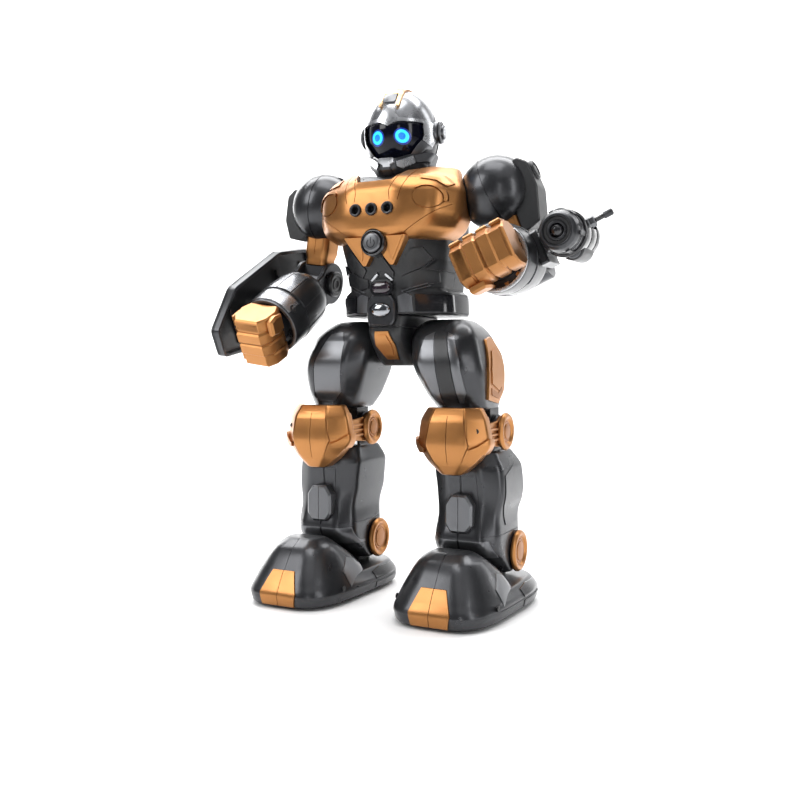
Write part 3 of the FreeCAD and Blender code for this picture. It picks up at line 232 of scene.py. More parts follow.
def rod(name, rad, a, b, at, axis="X", m=BASE, seg=48, r=0.0):
    """A round bar from a to b along the axis, through at."""
    return turn(name, [(0, a), (rad, a), (rad, b), (0, b)], at, axis, m, seg, r)


def sector(name, zr, t0, t1, a0, a1, m, at=(0, 0), n=20):
    """A curved plate on a round barrel: zr gives (height, radius); it stands from t0 to t1 over the barrel between angles a0 and a1."""
    rings = []
    for z, r in zr:
        row = []
        for side, t in ((0, t1), (1, t0)):
            idx = range(n + 1) if side == 0 else range(n, -1, -1)
            for i in idx:
                a = math.radians(a0 + (a1 - a0) * i / n)
                row.append((at[0] + (r + t) * math.cos(a), at[1] + (r + t) * math.sin(a), z))
        rings.append(row)
    return loft(name, rings, m)


def egg(name, g, seg=96, rows=56):
    rx, ry, rz = 24.8 + g, 31.5 + g, 30.5 + g
    verts = [(0, -7, 326 - rz)]
    for i in range(1, rows):
        a = -math.pi / 2 + math.pi * i / rows
        verts += [(rx * math.cos(a) * math.cos(2 * math.pi * j / seg), -7 + ry * math.cos(a) * math.sin(2 * math.pi * j / seg), 326 + rz * math.sin(a)) for j in range(seg)]
    verts.append((0, -7, 326 + rz))
    faces = []
    for j in range(seg):
        q = (j + 1) % seg
        faces.append((0, 1 + q, 1 + j))
        faces.append((len(verts) - 1, 1 + (rows - 2) * seg + j, 1 + (rows - 2) * seg + q))
        for i in range(rows - 2):
            faces.append((1 + i * seg + j, 1 + i * seg + q, 1 + (i + 1) * seg + q, 1 + (i + 1) * seg + j))
    return make(name, verts, faces, HEAD)


def skull(g):
    return egg("skull", g)


def drop(o):
    me = o.data
    bpy.data.objects.remove(o)
    if me.users == 0:
        bpy.data.meshes.remove(me)


TROUBLE = []


def combine(a, b, op="DIFFERENCE"):
    """a with b cut out of it, or a's common part with b. b is used up."""
    before = (len(a.data.vertices), len(a.data.polygons))
    for solver in ("MANIFOLD", "EXACT"):
        mod = a.modifiers.new("cutting", "BOOLEAN")
        mod.operation, mod.solver, mod.object = op, solver, b
        dg = bpy.context.evaluated_depsgraph_get()
        dg.update()
        me = bpy.data.meshes.new_from_object(a.evaluated_get(dg))
        a.modifiers.remove(mod)
        if len(me.polygons) > 3 and (len(me.vertices), len(me.polygons)) != before:
            break
        if solver == "MANIFOLD":
            bpy.data.meshes.remove(me)
    else:
        TROUBLE.append((a.name, b.name, op))
    old = a.data
    a.data = me
    bpy.data.meshes.remove(old)
    drop(b)
    return a


def cut(a, *tools):
    for t in tools:
        combine(a, t)
    return a


def layer(name, maker, lo, hi, area):
    """The part of a surface's skin, from lo to hi over it, that lies in an area."""
    o = combine(maker(hi), area, "INTERSECT")
    if lo is not None:
        combine(o, maker(lo))
    o.name = name
    return o


def join(name, *objs):
    bm = bmesh.new()
    for o in objs:
        bm.from_mesh(o.data)
    me = bpy.data.meshes.new(name)
    bm.to_mesh(me)
    bm.free()
    for o in objs:
        drop(o)
    out = bpy.data.objects.new(name, me)
    scene.collection.objects.link(out)
    return out


# ------------------------------------------------------------------ finishes
def finish(name, base, metallic, rough, grain=0.05, coat=0.0, vary=0.10, fine=1500.0, wear=0.05, spec=0.5):
    """A procedural finish: a slow tone change, a fine fleck, uneven roughness, faint rub marks and a moulding grain."""
    mat = bpy.data.materials.new(name)
    mat.use_nodes = True
    nt = mat.node_tree
    n, link = nt.nodes, nt.links.new
    n.clear()
    out, sh, tc = n.new("ShaderNodeOutputMaterial"), n.new("ShaderNodeBsdfPrincipled"), n.new("ShaderNodeTexCoord")
    slow, fleck, rub = n.new("ShaderNodeTexNoise"), n.new("ShaderNodeTexNoise"), n.new("ShaderNodeTexNoise")
    slow.inputs["Scale"].default_value, slow.inputs["Detail"].default_value = 22.0, 4.0
    fleck.inputs["Scale"].default_value, fleck.inputs["Detail"].default_value = fine, 2.0
    rub.inputs["Scale"].default_value, rub.inputs["Detail"].default_value, rub.inputs["Distortion"].default_value = 95.0, 5.0, 0.7
    for t in (slow, fleck, rub):
        link(tc.outputs["Object"], t.inputs["Vector"])
    tone = n.new("ShaderNodeMix")
    tone.data_type = "RGBA"
    tone.inputs[6].default_value = tuple(c * (1 - vary) for c in base) + (1,)
    tone.inputs[7].default_value = tuple(min(c * (1 + vary), 1.0) for c in base) + (1,)
    blend = n.new("ShaderNodeMath")
    blend.operation = "MULTIPLY_ADD"
    blend.inputs[1].default_value = 0.5
    link(slow.outputs["Fac"], blend.inputs[0])
    half = n.new("ShaderNodeMath")
    half.operation = "MULTIPLY"
    half.inputs[1].default_value = 0.5
    link(fleck.outputs["Fac"], half.inputs[0])
    link(half.outputs[0], blend.inputs[2])
    link(blend.outputs[0], tone.inputs[0])
    link(tone.outputs[2], sh.inputs["Base Color"])
    rr = n.new("ShaderNodeMapRange")
    rr.inputs["From Min"].default_value, rr.inputs["From Max"].default_value = 0.3, 0.75
    rr.inputs["To Min"].default_value, rr.inputs["To Max"].default_value = max(rough - wear * 0.6, 0.03), min(rough + wear, 1.0)
    link(rub.outputs["Fac"], rr.inputs["Value"])
    link(rr.outputs[0], sh.inputs["Roughness"])
    bump = n.new("ShaderNodeBump")
    bump.inputs["Strength"].default_value, bump.inputs["Distance"].default_value = grain, 0.0002
    link(fleck.outputs["Fac"], bump.inputs["Height"])
    link(bump.outputs["Normal"], sh.inputs["Normal"])
    sh.inputs["Metallic"].default_value = metallic
    sh.inputs["Specular IOR Level"].default_value = spec
    if coat:
        sh.inputs["Coat Weight"].default_value, sh.inputs["Coat Roughness"].default_value = coat, 0.12
    link(sh.outputs[0], out.inputs["Surface"])
    return mat


def glow(name, colour, strength, halo=False):
    """A lit lens: the light is uneven over its face. With halo it is instead a painted glow that falls off from the
    middle.
    """
    mat = finish(name, colour, 0.0, 0.3)
    nt = mat.node_tree
    n, link = nt.nodes, nt.links.new
    sh = [x for x in n if x.type == "BSDF_PRINCIPLED"][0]
    tc = [x for x in n if x.type == "TEX_COORD"][0]
    sh.inputs["Emission Color"].default_value = tuple(colour) + (1,)
    mr = n.new("ShaderNodeMapRange")
    if halo:
        sep, a, b, c = n.new("ShaderNodeSeparateXYZ"), n.new("ShaderNodeMath"), n.new("ShaderNodeMath"), n.new("ShaderNodeVectorMath")
        link(tc.outputs["Generated"], sep.inputs[0])
        com = n.new("ShaderNodeCombineXYZ")
        com.inputs[1].default_value = 0.0
        a.operation = b.operation = "SUBTRACT"
        a.inputs[1].default_value = b.inputs[1].default_value = 0.5
        link(sep.outputs[0], a.inputs[0]), link(sep.outputs[2], b.inputs[0])
        link(a.outputs[0], com.inputs[0]), link(b.outputs[0], com.inputs[2])
        c.operation = "LENGTH"
        link(com.outputs[0], c.inputs[0])
        link(c.outputs["Value"], mr.inputs["Value"])
        mr.inputs["From Min"].default_value, mr.inputs["From Max"].default_value = 0.22, 0.5
        mr.inputs["To Min"].default_value, mr.inputs["To Max"].default_value = strength, 0.0
    else:
        noise = n.new("ShaderNodeTexNoise")
        noise.inputs["Scale"].default_value = 700.0
        link(tc.outputs["Object"], noise.inputs["Vector"])
        link(noise.outputs["Fac"], mr.inputs["Value"])
        mr.inputs["To Min"].default_value, mr.inputs["To Max"].default_value = strength * 0.85, strength * 1.15
    link(mr.outputs[0], sh.inputs["Emission Strength"])
    return mat


MAT = {
    "gold_plastic": finish("gold_paint", (0.40, 0.178, 0.058), 0.90, 0.34, 0.06, 0.08, 0.08),
    "gold_pale": finish("pale_gold_paint", (0.66, 0.42, 0.21), 0.85, 0.30, 0.05, 0.10, 0.06),
    "bronze": finish("bronze_paint", (0.30, 0.125, 0.040), 0.85, 0.38, 0.06, 0.05, 0.10),
    "gunmetal_plastic": finish("gunmetal_paint", (0.048, 0.049, 0.053), 0.75, 0.30, 0.05, 0.15, 0.12),
    "steel_grey": finish("mid_grey_paint", (0.135, 0.138, 0.146), 0.82, 0.31, 0.05, 0.12, 0.08),
    "silver_plastic": finish("silver_paint", (0.52, 0.53, 0.55), 0.85, 0.27, 0.04, 0.10, 0.06),
    "black_plastic": finish("satin_black", (0.013, 0.0135, 0.015), 0.15, 0.38, 0.08, 0.06, 0.20),
    "black_gloss": finish("gloss_black", (0.012, 0.012, 0.014), 0.25, 0.14, 0.02, 0.5, 0.20, wear=0.03),
    "dark_internal": finish("internal_black", (0.016, 0.016, 0.018), 0.0, 0.62, 0.15, 0.0, 0.25),
    "visor_black": finish("visor_smoke", (0.002, 0.0025, 0.008), 0.0, 0.10, 0.01, 0.0, 0.25, wear=0.02, spec=0.28),
    "lens_dark": finish("lens_smoke", (0.018, 0.010, 0.016), 0.0, 0.08, 0.01, 0.8, 0.2, wear=0.02),
    "chrome_dark": finish("dark_chrome", (0.30, 0.31, 0.33), 1.0, 0.12, 0.01, 0.3, 0.05, wear=0.03),
    "board_green": finish("board_green", (0.02, 0.10, 0.035), 0.0, 0.45, 0.10, 0.2, 0.2),
    "cell_jacket": finish("cell_jacket", (0.10, 0.09, 0.06), 0.3, 0.30, 0.05, 0.3, 0.15),
    "steel": finish("plated_steel", (0.46, 0.47, 0.48), 1.0, 0.28, 0.06, 0.0, 0.08),
    "tyre_rubber": finish("rubber", (0.018, 0.018, 0.018), 0.0, 0.78, 0.4, 0.0, 0.2, fine=700.0),
    "paper_cone": finish("paper_cone", (0.05, 0.048, 0.045), 0.0, 0.9, 0.4, 0.0, 0.2, fine=500.0),
    "eye_glow": glow("eye_light", (0.02, 0.42, 1.0), 1.45),
    "eye_core": glow("eye_core", (0.006, 0.16, 0.62), 0.75),
    # eye_halo: a painted glow on the visor round each eye, fading from the middle
    "eye_halo": glow("eye_halo", (0.003, 0.035, 0.30), 0.55, True),
    "helmet_grey": finish("helmet_grey", (0.27, 0.275, 0.29), 0.85, 0.25, 0.04, 0.15, 0.08),
    "mark": finish("dark_mark", (0.008, 0.008, 0.009), 0.0, 0.5, 0.1),
}


def put(o, body, slot, mat=None, nodes=(), bevel=0.0, sharp=34.0):
    """Gives a piece its finish and shading, and hands it to the frame."""
    me = o.data
    me.materials.clear()
    me.materials.append(MAT[mat or slot])
    me.polygons.foreach_set("material_index", [0] * len(me.polygons))
    me.shade_smooth()
    me.set_sharp_from_angle(angle=math.radians(sharp))
    if bevel:
        mod = o.modifiers.new("rounding", "BEVEL")
        mod.width, mod.segments, mod.limit_method, mod.angle_limit = bevel * 0.001, 2, "ANGLE", math.radians(36)
        mod.harden_normals = True
    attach(o, body)
    if nodes:
        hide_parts(*nodes)
    return o


# ------------------------------------------------------------------ torso
TORSO = [
    (199.0, (0, 42.5, -36, 32, 19, 26, 19, 14)), (214.0, (0, 41.5, -37, 32, 18, 26, 19, 14)),
    (217.0, (0, 36.5, -37, 32, 17, 26, 17, 10)), (233.0, (0, 38.5, -40, 32, 18, 26, 19, 10)),
    (249.0, (0, 41, -44, 32, 22, 26, 20, 10)), (262.0, (0, 41.5, -47, 32, 24, 26, 22, 12)),
    (284.0, (0, 41.5, -46, 32, 24, 26, 22, 12)), (300.0, (0, 37, -28, 24, 20, 18, 14, 12)),
]


def trunk(g, **k):
    return tower("trunk", TORSO, g=g, r=7.0, step=2.5, **k)


NECKLINE = [(-24, 303), (24, 303), (13, 290.5), (-13, 290.5)]
t = trunk(0.0, edge=1.2)
cut(t, trunk(-2.2, edge=1.0, z0=201.2, z1=288.3), rod("well", 35, 290.5, 312, (0, -7, 0), "Z"), rod("neck_bore", 8.1, 270, 300, (0, -7, 0), "Z"),
    rod("axle_bore", 5.6, -60, 60, (0, 1, 282), "X"), rod("collar_bore", 9.3, -60, -20, (0, 0, 246), "Y"), prism("neckline", NECKLINE, "XZ", -60, -20),
    block("split", -60, 60, -0.14, 0.14, 190, 310))
for i in range(4):
    cut(t, prism("slot", [(-10, 266.5 + 4 * i), (10, 266.5 + 4 * i), (10, 268.3 + 4 * i), (-10, 268.3 + 4 * i)], "XZ", 25, 40, r=0.85))
for x, z in ((-20, 206.5), (20, 206.5), (-20, 276.0), (20, 276.0)):
    cut(t, rod("sink", 2.9, 28.5, 40, (x, 0, z), "Y", seg=24))
cut(t, prism("door_line", [(-24.4, 210.6), (24.4, 210.6), (24.4, 263.4), (-24.4, 263.4)], "XZ", 29.6, 40, r=2.0))
put(t, "torso", "black_plastic", nodes=("torso_front_shell", "torso_back_shell"))
# battery door: ribs, a finger notch and a screw
door = prism("battery_door_plate", [(-23.9, 211.1), (23.9, 211.1), (23.9, 262.9), (-23.9, 262.9)], "XZ", 30.2, 32.1, r=2.0, edge=0.4)
for i in range(5):
    cut(door, prism("rib_gap", [(-15, 217 + 2.4 * i), (15, 217 + 2.4 * i), (15, 217.9 + 2.4 * i), (-15, 217.9 + 2.4 * i)], "XZ", 31.5, 34))
cut(door, prism("notch", [(-6, 259), (6, 259), (0, 252.5)], "XZ", 31.4, 34), rod("door_screw_hole", 2.6, 31.0, 34, (0, 0, 240), "Y", seg=24))
put(door, "torso", "black_plastic", nodes=("battery_door",))
for i, (x, z) in enumerate(((-20, 206.5), (20, 206.5), (-20, 276.0), (20, 276.0), (0, 240.0))):
    y = 30.0 if i < 4 else 31.4
    s = turn(f"back_screw_{i}", [(0, 0), (2.3, 0), (2.3, 0.7), (1.6, 1.1), (0, 1.1)], (x, y - 0.6 if i < 4 else y - 0.4, z), "Y", seg=24)
    cut(s, block("slot_a", x - 1.5, x + 1.5, y - 0.1, y + 3, z - 0.25, z + 0.25), block("slot_b", x - 0.25, x + 0.25, y - 0.1, y + 3, z - 1.5, z + 1.5))
    put(s, "torso", "steel")
# skin plates, strips and seams of the waist
for n, s in SIDES:
    mir = lambda pts: [(s * x, z) for x, z in pts]
    put(layer(f"waist_plate_{n}", trunk, -0.3, 0.7, prism("a", mir([(11.3, 200.6), (21.5, 200.6), (21.0, 211.0), (17.5, 213.4), (11.3, 211.2)]), "XZ", -60, -15)), "torso", "gunmetal_plastic", "steel_grey")
    put(layer(f"waist_side_{n}", trunk, -0.3, 0.6, prism("a", mir([(23.0, 200.8), (50, 200.8), (50, 212.4), (22.5, 212.4)]), "XZ", -60, 26)), "torso", "black_plastic", "black_gloss")
    put(layer(f"belly_plate_{n}", trunk, -0.3, 0.9, prism("a", mir([(11.5, 229.0), (22.5, 242.0), (29.0, 243.5), (33.5, 236.0), (26.5, 230.0), (15.0, 224.5)]), "XZ", -60, -12)), "torso", "black_plastic")
    put(layer(f"belly_low_{n}", trunk, -0.3, 0.8, prism("a", mir([(11.0, 222.8), (13.8, 223.6), (26.0, 229.0), (35.5, 227.0), (35.5, 221.0), (18.5, 216.2), (11.0, 217.4)]), "XZ", -60, -12)), "torso", "black_plastic")
    put(layer(f"belly_rib_{n}", trunk, -0.3, 1.2, prism("a", mir([(29.6, 229.6), (36.0, 235.0), (45, 235.0), (45, 229.0), (37.0, 228.2)]), "XZ", -60, 10)), "torso", "black_plastic")
    for i, (a, b) in enumerate((((14.0, 213.9), (29.5, 219.7)), ((17.5, 213.2), (30.5, 218.0)))):
        put(layer(f"waist_strip_{n}_{i}", trunk, -0.3, 1.15 + 0.1 * i, prism("a", mir([a, b, (b[0], b[1] + 0.7), (a[0], a[1] + 0.7)]), "XZ", -60, -12)), "torso", "silver_plastic", "steel_grey")
    put(layer(f"window_brow_{n}", trunk, -0.3, 1.6, prism("a", mir([(2.6, 225.6), (7.4, 221.4), (8.4, 222.4), (3.4, 226.8)]), "XZ", -60, -20)), "torso", "silver_plastic")
put(layer("belly_wedge", trunk, -0.3, 1.3, prism("a", [(-2.5, 237), (2.5, 237), (9.5, 227), (8.6, 223.2), (3.0, 227.8), (-3.0, 227.8), (-8.6, 223.2), (-9.5, 227)], "XZ", -60, -20)), "torso", "black_plastic")
ring_area = cut(prism("a", [(-5.6, 212.0), (5.6, 212.0), (8.3, 214.6), (8.3, 219.6), (5.6, 222.6), (-5.6, 222.6), (-8.3, 219.6), (-8.3, 214.6)], "XZ", -60, -20, r=1.2),
                prism("b", [(-4.5, 213.2), (4.5, 213.2), (6.9, 215.3), (6.9, 218.9), (4.5, 221.3), (-4.5, 221.3), (-6.9, 218.9), (-6.9, 215.3)], "XZ", -70, -10, r=1.0))
put(layer("window_frame", trunk, -0.3, 3.0, ring_area), "torso", "black_plastic", "black_gloss")
win = loft("ir_window_lens", [[(p[0], y, p[1]) for p in soft(inset([(-4.6, 213.1), (4.6, 213.1), (7.0, 215.2), (7.0, 219.0), (4.6, 221.4), (-4.6, 221.4), (-7.0, 219.0), (-7.0, 215.2)], d), 1.2, 3)]
                              for y, d in ((-34, 0.1), (-39.6, 0.1), (-40.6, 0.5), (-41.3, 1.2), (-41.7, 2.2))])
put(win, "torso", "lens_dark", nodes=("ir_window",))
buckle = prism("buckle_plate", [(-8, 191.5), (8, 191.5), (10.5, 195), (10.5, 207), (7, 212), (-7, 212), (-10.5, 207), (-10.5, 195)], "XZ", -41.0, -34, r=1.2, edge=0.9)
cut(buckle, turn("lens_seat", [(0, 0), (8.4, 0), (8.4, 3), (0, 3)], (0, -40.4, 202), "-Y", BASE @ T((0, 0, 202)) @ Matrix.Diagonal((1, 1, 0.68, 1)) @ T((0, 0, -202))))
put(buckle, "torso", "silver_plastic", "gunmetal_plastic", nodes=("belt_buckle",))
seat = BASE @ T((0, -40.6, 202)) @ Matrix.Diagonal((1, 1, 0.66, 1))
put(turn("buckle_lens", [(0, 0)] + [(7.4 * math.cos(math.radians(a)), 3.0 * math.sin(math.radians(a))) for a in range(0, 90, 10)] + [(0, 3.0)], (0, 0, 0), "-Y", seat), "torso", "silver_plastic", "chrome_dark")
put(turn("buckle_lens_dot", [(0, 2.4), (1.7, 2.4), (1.5, 3.05), (0.8, 3.25), (0, 3.3)], (0, 0, 0), "-Y", seat, seg=32), "torso", "silver_plastic", "black_gloss")

# ------------------------------------------------------------------ chest
CHEST = [
    (248.5, (40, -30, 28, -43, 13, -48.5)), (256.0, (50, -31, 36, -46, 17, -53)), (266.0, (54, -29, 41, -46.5, 20, -54)),
    (279.0, (54.5, -26.5, 42, -44, 20, -53)), (288.0, (51, -22, 38, -40, 15, -49)), (299.5, (44, -11, 33, -23, 14, -31)),
]


def chest_ring(a, g=0.0):
    ex, ef, mx, mf, cx, cf = a
    ex, ef, mx, mf, cx, cf = ex + g, ef - 0.5 * g, mx + 0.6 * g, mf - 0.8 * g, cx + 0.3 * g, cf - g
    return [(-cx, cf), (cx, cf), (mx, mf), (ex, ef), (ex, -6), (-ex, -6), (-ex, ef), (-mx, mf)]


def chest(g, **k):
    return tower("chest", CHEST, chest_ring, g=g, r=5.5, step=1.6, edge=2.2, **k)


def ellipse(cx, cz, a, b, tilt=0.0, a0=0.0, a1=360.0, n=40):
    out = []
    for i in range(n if a1 - a0 >= 360 else n + 1):
        t = math.radians(a0 + (a1 - a0) * i / n)
        x, z = a * math.cos(t), b * math.sin(t)
        c, s = math.cos(math.radians(tilt)), math.sin(math.radians(tilt))
        out.append((cx + x * c - z * s, cz + x * s + z * c))
    return out


c = chest(0.0)
cut(c, rod("well", 35, 290.5, 312, (0, -7, 0), "Z", seg=96), prism("neckline", [(-25, 303), (25, 303), (13, 287.5), (-13, 287.5)], "XZ", -62, -20))
for s in (1, -1):
    cut(c, turn("room", [(0, -26.4)] + [(26.4 * math.cos(math.radians(a)), 26.4 * math.sin(math.radians(a))) for a in range(-84, 85, 6)] + [(0, 26.4)], (s * 68, 1, 282), "X", seg=72))
    outline, hole = ellipse(s * 37.5, 274.5, 9.4, 7.6, s * -14), ellipse(s * 37.5, 274.5, 9.0, 7.2, s * -14)
    ring = cut(prism("groove", outline, "XZ", -60, -25), prism("groove_in", hole, "XZ", -70, -10))
    cut(ring, chest(-0.9))
    cut(c, ring)
    for pts in ([(s * 17.0, 293.0), (s * 17.5, 293.0), (s * 12.6, 279.6), (s * 12.1, 279.6)], [(s * 12.1, 279.6), (s * 12.6, 279.6), (s * 13.4, 273.4), (s * 13.0, 273.4)],
                [(s * 25.0, 297.0), (s * 25.6, 297.0), (s * 19.2, 273.0), (s * 18.8, 273.0)]):
        g = prism("panel_line", pts, "XZ", -60, -30)
        cut(g, chest(-0.7))
        cut(c, g)
    g = prism("panel_line", [(s * 50, 270), (s * 50, 270.5), (s * 21, 252.0), (s * 21, 251.5)], "XZ", -60, -25)
    cut(g, chest(-0.7))
    cut(c, g)
for x in (-12, 0, 12):
    cut(c, rod("bezel_bore", 4.35, -62, -45, (x, 0, 268), "Y"))
cut(c, rod("collar_bore", 9.35, -62, -36, (0, 0, 246), "Y"))
put(c, "torso", "gold_plastic", nodes=("chest_plate",))
for n, s in SIDES:
    put(layer(f"chest_pad_{n}", chest, -0.3, 0.55, prism("a", ellipse(s * 37.5, 274.5, 8.9, 7.1, s * -14), "XZ", -60, -25)), "torso", "gold_plastic")
    brow = ellipse(s * 37.5, 274.5, 11.2, 9.9, s * -14, 0, 150) if s > 0 else ellipse(s * 37.5, 274.5, 11.2, 9.9, 14, 30, 180)
    back = ellipse(s * 37.5, 274.2, 9.5, 7.9, s * -14, 0, 150)[::-1] if s > 0 else ellipse(s * 37.5, 274.2, 9.5, 7.9, 14, 30, 180)[::-1]
    put(layer(f"chest_brow_{n}", chest, -0.3, 1.5, prism("a", brow + back, "XZ", -60, -20)), "torso", "gold_plastic")
    put(layer(f"chest_wing_{n}", chest, -0.3, 0.9, prism("a", [(s * 30, 292.5), (s * 44, 290), (s * 50, 284.5), (s * 47, 282.2), (s * 41, 286.2), (s * 31, 288)], "XZ", -60, -8)), "torso", "gold_plastic")
    flap = [(s * x, z) for x, z in [(3.0, 250.5), (23.5, 250.5), (20.5, 245.5), (11.6, 231.6), (9.2, 231.6), (4.5, 238.0)]]
    put(loft(f"chest_flap_{n}", [[(p[0], (-37.0 if back else -50.2 + (250.5 - p[1]) * 0.30), p[1]) for p in soft(inset(flap, d), 0.8, 2)] for back, d in ((1, 0.0), (0, 0.0), (0, 0.9))][:2]), "torso", "gold_plastic", bevel=0.6)
    put(loft(f"chest_flap_edge_{n}", [[(p[0], (-40.0 if back else -50.9 + (250.5 - p[1]) * 0.30), p[1]) for p in soft([(s * x, z) for x, z in [(8.6, 250.3), (21.5, 250.3), (19.0, 246.0), (11.6, 234.4), (10.6, 236.0)]], 0.8, 2)] for back in (1, 0)]), "torso", "gold_plastic", bevel=0.5)
put(join("sensor_rings", *[turn("bezel", [(0, 0), (4.2, 0), (4.2, 7.4), (3.9, 8.1), (3.3, 8.1), (3.1, 7.7), (2.9, 7.7), (2.6, 7.3), (2.4, 2.2), (0, 2.2)], (x, -47.3, 268), "-Y", r=0.12) for x in (-12, 0, 12)]), "torso", "gunmetal_plastic", nodes=("sensor_bezels",))
put(join("sensor_holes", *[turn("hole", [(0, 2.2), (2.38, 2.2), (2.38, 2.9), (0.8, 3.3), (0, 3.3)], (x, -47.3, 268), "-Y") for x in (-12, 0, 12)]), "torso", "black_plastic", "mark")
put(turn("button_ring", [(3.0, 0), (9.2, 0), (9.2, 13.2), (8.9, 14.6), (8.2, 15.2), (7.7, 15.2), (7.15, 14.4), (7.05, 13.6), (7.05, 2.0), (3.0, 2.0)], (0, -38, 246), "-Y", r=0.25), "torso", "black_plastic", "black_gloss", nodes=("button_collar",))
b = turn("power_button_cap", [(0, 0), (2.9, 0), (2.9, 8.0), (6.7, 8.0), (6.7, 18.0), (6.1, 18.9), (5.0, 19.3), (0, 19.5)], (0, -35.5, 246), "-Y", r=0.3)
put(b, "power_button", "gunmetal_plastic", "steel_grey", nodes=("power_button",))
mark = ellipse(0, 245.4, 3.1, 3.1, 0, 130, 410) + ellipse(0, 245.4, 2.5, 2.5, 0, 130, 410)[::-1]
put(join("power_symbol", prism("arc", mark, "XZ", -55.1, -54.6), prism("bar", [(-0.3, 245.2), (0.3, 245.2), (0.3, 249.4), (-0.3, 249.4)], "XZ", -55.06, -54.6)), "power_button", "black_plastic", "mark")

# ------------------------------------------------------------------ pelvis
PELVIS = [(164.0, (0, 12.5, -18, 10, 8, 8, 5, 5)), (172.0, (0, 14.2, -27, 17, 9, 9, 6, 6)), (188.0, (0, 14.2, -37.5, 23, 10, 10, 6, 6)), (198.9, (0, 17.0, -36.5, 25, 12, 13, 8, 8))]


def pelvis(g, **k):
    return tower("pelvis", PELVIS, g=g, r=3.5, step=2.0, edge=1.2, **k)


p = pelvis(0.0)
cut(p, block("split", -0.12, 0.12, -60, 60, 150, 186), block("line", -30, 30, -60, 60, 190.2, 190.6))
put(p, "torso", "black_plastic", nodes=("pelvis_shell",))
for n, s in SIDES:
    put(rod(f"hip_stub_{n}", 5.0, 12.0, 30.3, (0, -4, 173), "X" if s > 0 else "-X", r=0.4), "torso", "black_plastic")
    put(turn(f"hip_washer_{n}", [(5.0, 13.2), (8.6, 13.2), (8.6, 14.9), (5.0, 14.9)], (0, -4, 173), "X" if s > 0 else "-X", r=0.3), "torso", "black_plastic")
INSERT = [(-5.5, 187.5), (4.5, 187.5), (7.5, 178), (6.0, 168.5), (-3.0, 168.5), (-7.5, 178)]
put(layer("pelvis_gold_plate", pelvis, -0.4, 1.3, prism("a", INSERT, "XZ", -50, -15)), "torso", "gold_plastic", nodes=("pelvis_insert",))
put(layer("pelvis_gold_ridge", pelvis, -0.4, 2.0, prism("a", [(-3.6, 184.8), (2.8, 184.8), (4.9, 178), (3.8, 171.4), (-1.6, 171.4), (-4.9, 178)], "XZ", -50, -15)), "torso", "gold_plastic")

# ------------------------------------------------------------------ head
FACE = [(-6, 304), (6, 304), (13, 308), (20, 317), (21.5, 321), (21, 329.5), (6, 329), (0, 326), (-6, 329), (-21, 329.5), (-21.5, 321), (-20, 317), (-13, 308)]
h = egg("helmet", 0.0)
cut(h, egg("in", -2.2), block("low", -40, 40, -60, 60, 280, 300, m=HEAD), prism("face", FACE, "XZ", -50, -11, m=HEAD))
put(h, "head", "gunmetal_plastic", "gunmetal_plastic", nodes=("helmet_shell",))


def hp(pts, y0=-60, y1=-11):
    return prism("a", pts, "XZ", y0, y1, m=HEAD)


FRONT = [(-45, 329.4), (-13.5, 331.2), (-11.5, 333.5), (-6.0, 341.0), (3.0, 358.5), (3.0, 362), (-45, 362)]
plate = layer("helmet_front", skull, -0.3, 0.55, prism("a", FRONT, "YZ", -40, 40, m=HEAD))
cut(plate, hp([(-20.6, 320), (20.6, 320), (20.6, 329.6), (6, 329.2), (0, 326.2), (-6, 329.2), (-20.6, 329.6)]), prism("a", [(-50, 343), (22, 343), (22, 370), (-50, 370)], "YZ", -7.3, 7.3, m=HEAD))
put(plate, "head", "silver_plastic", "helmet_grey")
for n, s in SIDES:
    tri = prism("a", [(-9.5, 333.2), (2, 331.8), (9, 336), (12, 346), (5.6, 355.5)], "YZ", s * 4, s * 40, m=HEAD)
    put(layer(f"helmet_side_{n}", skull, -0.3, 0.5, tri), "head", "gunmetal_plastic", "steel_grey")
    low = prism("a", [(1, 327), (12, 331), (20, 326), (18, 309), (8, 303), (2, 308)], "YZ", s * 4, s * 40, m=HEAD)
    put(layer(f"helmet_low_{n}", skull, -0.3, 0.6, low), "head", "gunmetal_plastic")
RIDGE = [(-5.2, 343.5), (5.2, 343.5), (4.3, 338.5), (4.6, 334.6), (7.4, 331.4), (13, 330.9), (20.8, 331.6), (21.6, 329.3), (6, 328.7), (0, 325.6)]
RIDGE += [(-6, 328.7), (-21.6, 329.3), (-20.8, 331.6), (-13, 330.9), (-7.4, 331.4), (-4.6, 334.6), (-4.3, 338.5)]
put(layer("helmet_ridge", skull, -0.3, 1.5, hp(RIDGE)), "head", "silver_plastic")
put(layer("visor", skull, -2.8, -0.8, hp([(x * 1.01, 318 + (z - 318) * 1.01) for x, z in FACE], -60, -9.5)), "head", "visor_black", nodes=("face_visor",))
# Each eye also gets a halo: a painted glow, a lit disc set into the visor round the eye that fades from the middle,
# where the eye light spills into the smoked visor.
glow_parts = {"eye_glow": [], "eye_core": [], "eye_halo": []}
for n, s in SIDES:
    glow_parts["eye_halo"].append(layer(f"eye_halo_{n}", skull, -1.4, -0.72, prism("a", ellipse(s * 8.8, 319.3, 5.4, 5.4), "XZ", -60, -20, m=HEAD)))
    ring = cut(prism("a", ellipse(s * 8.8, 319.3, 4.2, 4.2), "XZ", -60, -20, m=HEAD), prism("b", ellipse(s * 8.8, 319.3, 2.3, 2.3), "XZ", -70, -10, m=HEAD))
    glow_parts["eye_glow"].append(layer(f"eye_ring_{n}", skull, -1.0, -0.42, ring))
    glow_parts["eye_core"].append(layer(f"eye_core_{n}", skull, -1.0, -0.5, prism("a", ellipse(s * 8.8, 319.3, 2.3, 2.3), "XZ", -60, -20, m=HEAD)))
for o in glow_parts["eye_halo"]:
    put(o, "head", "visor_black", "eye_halo")
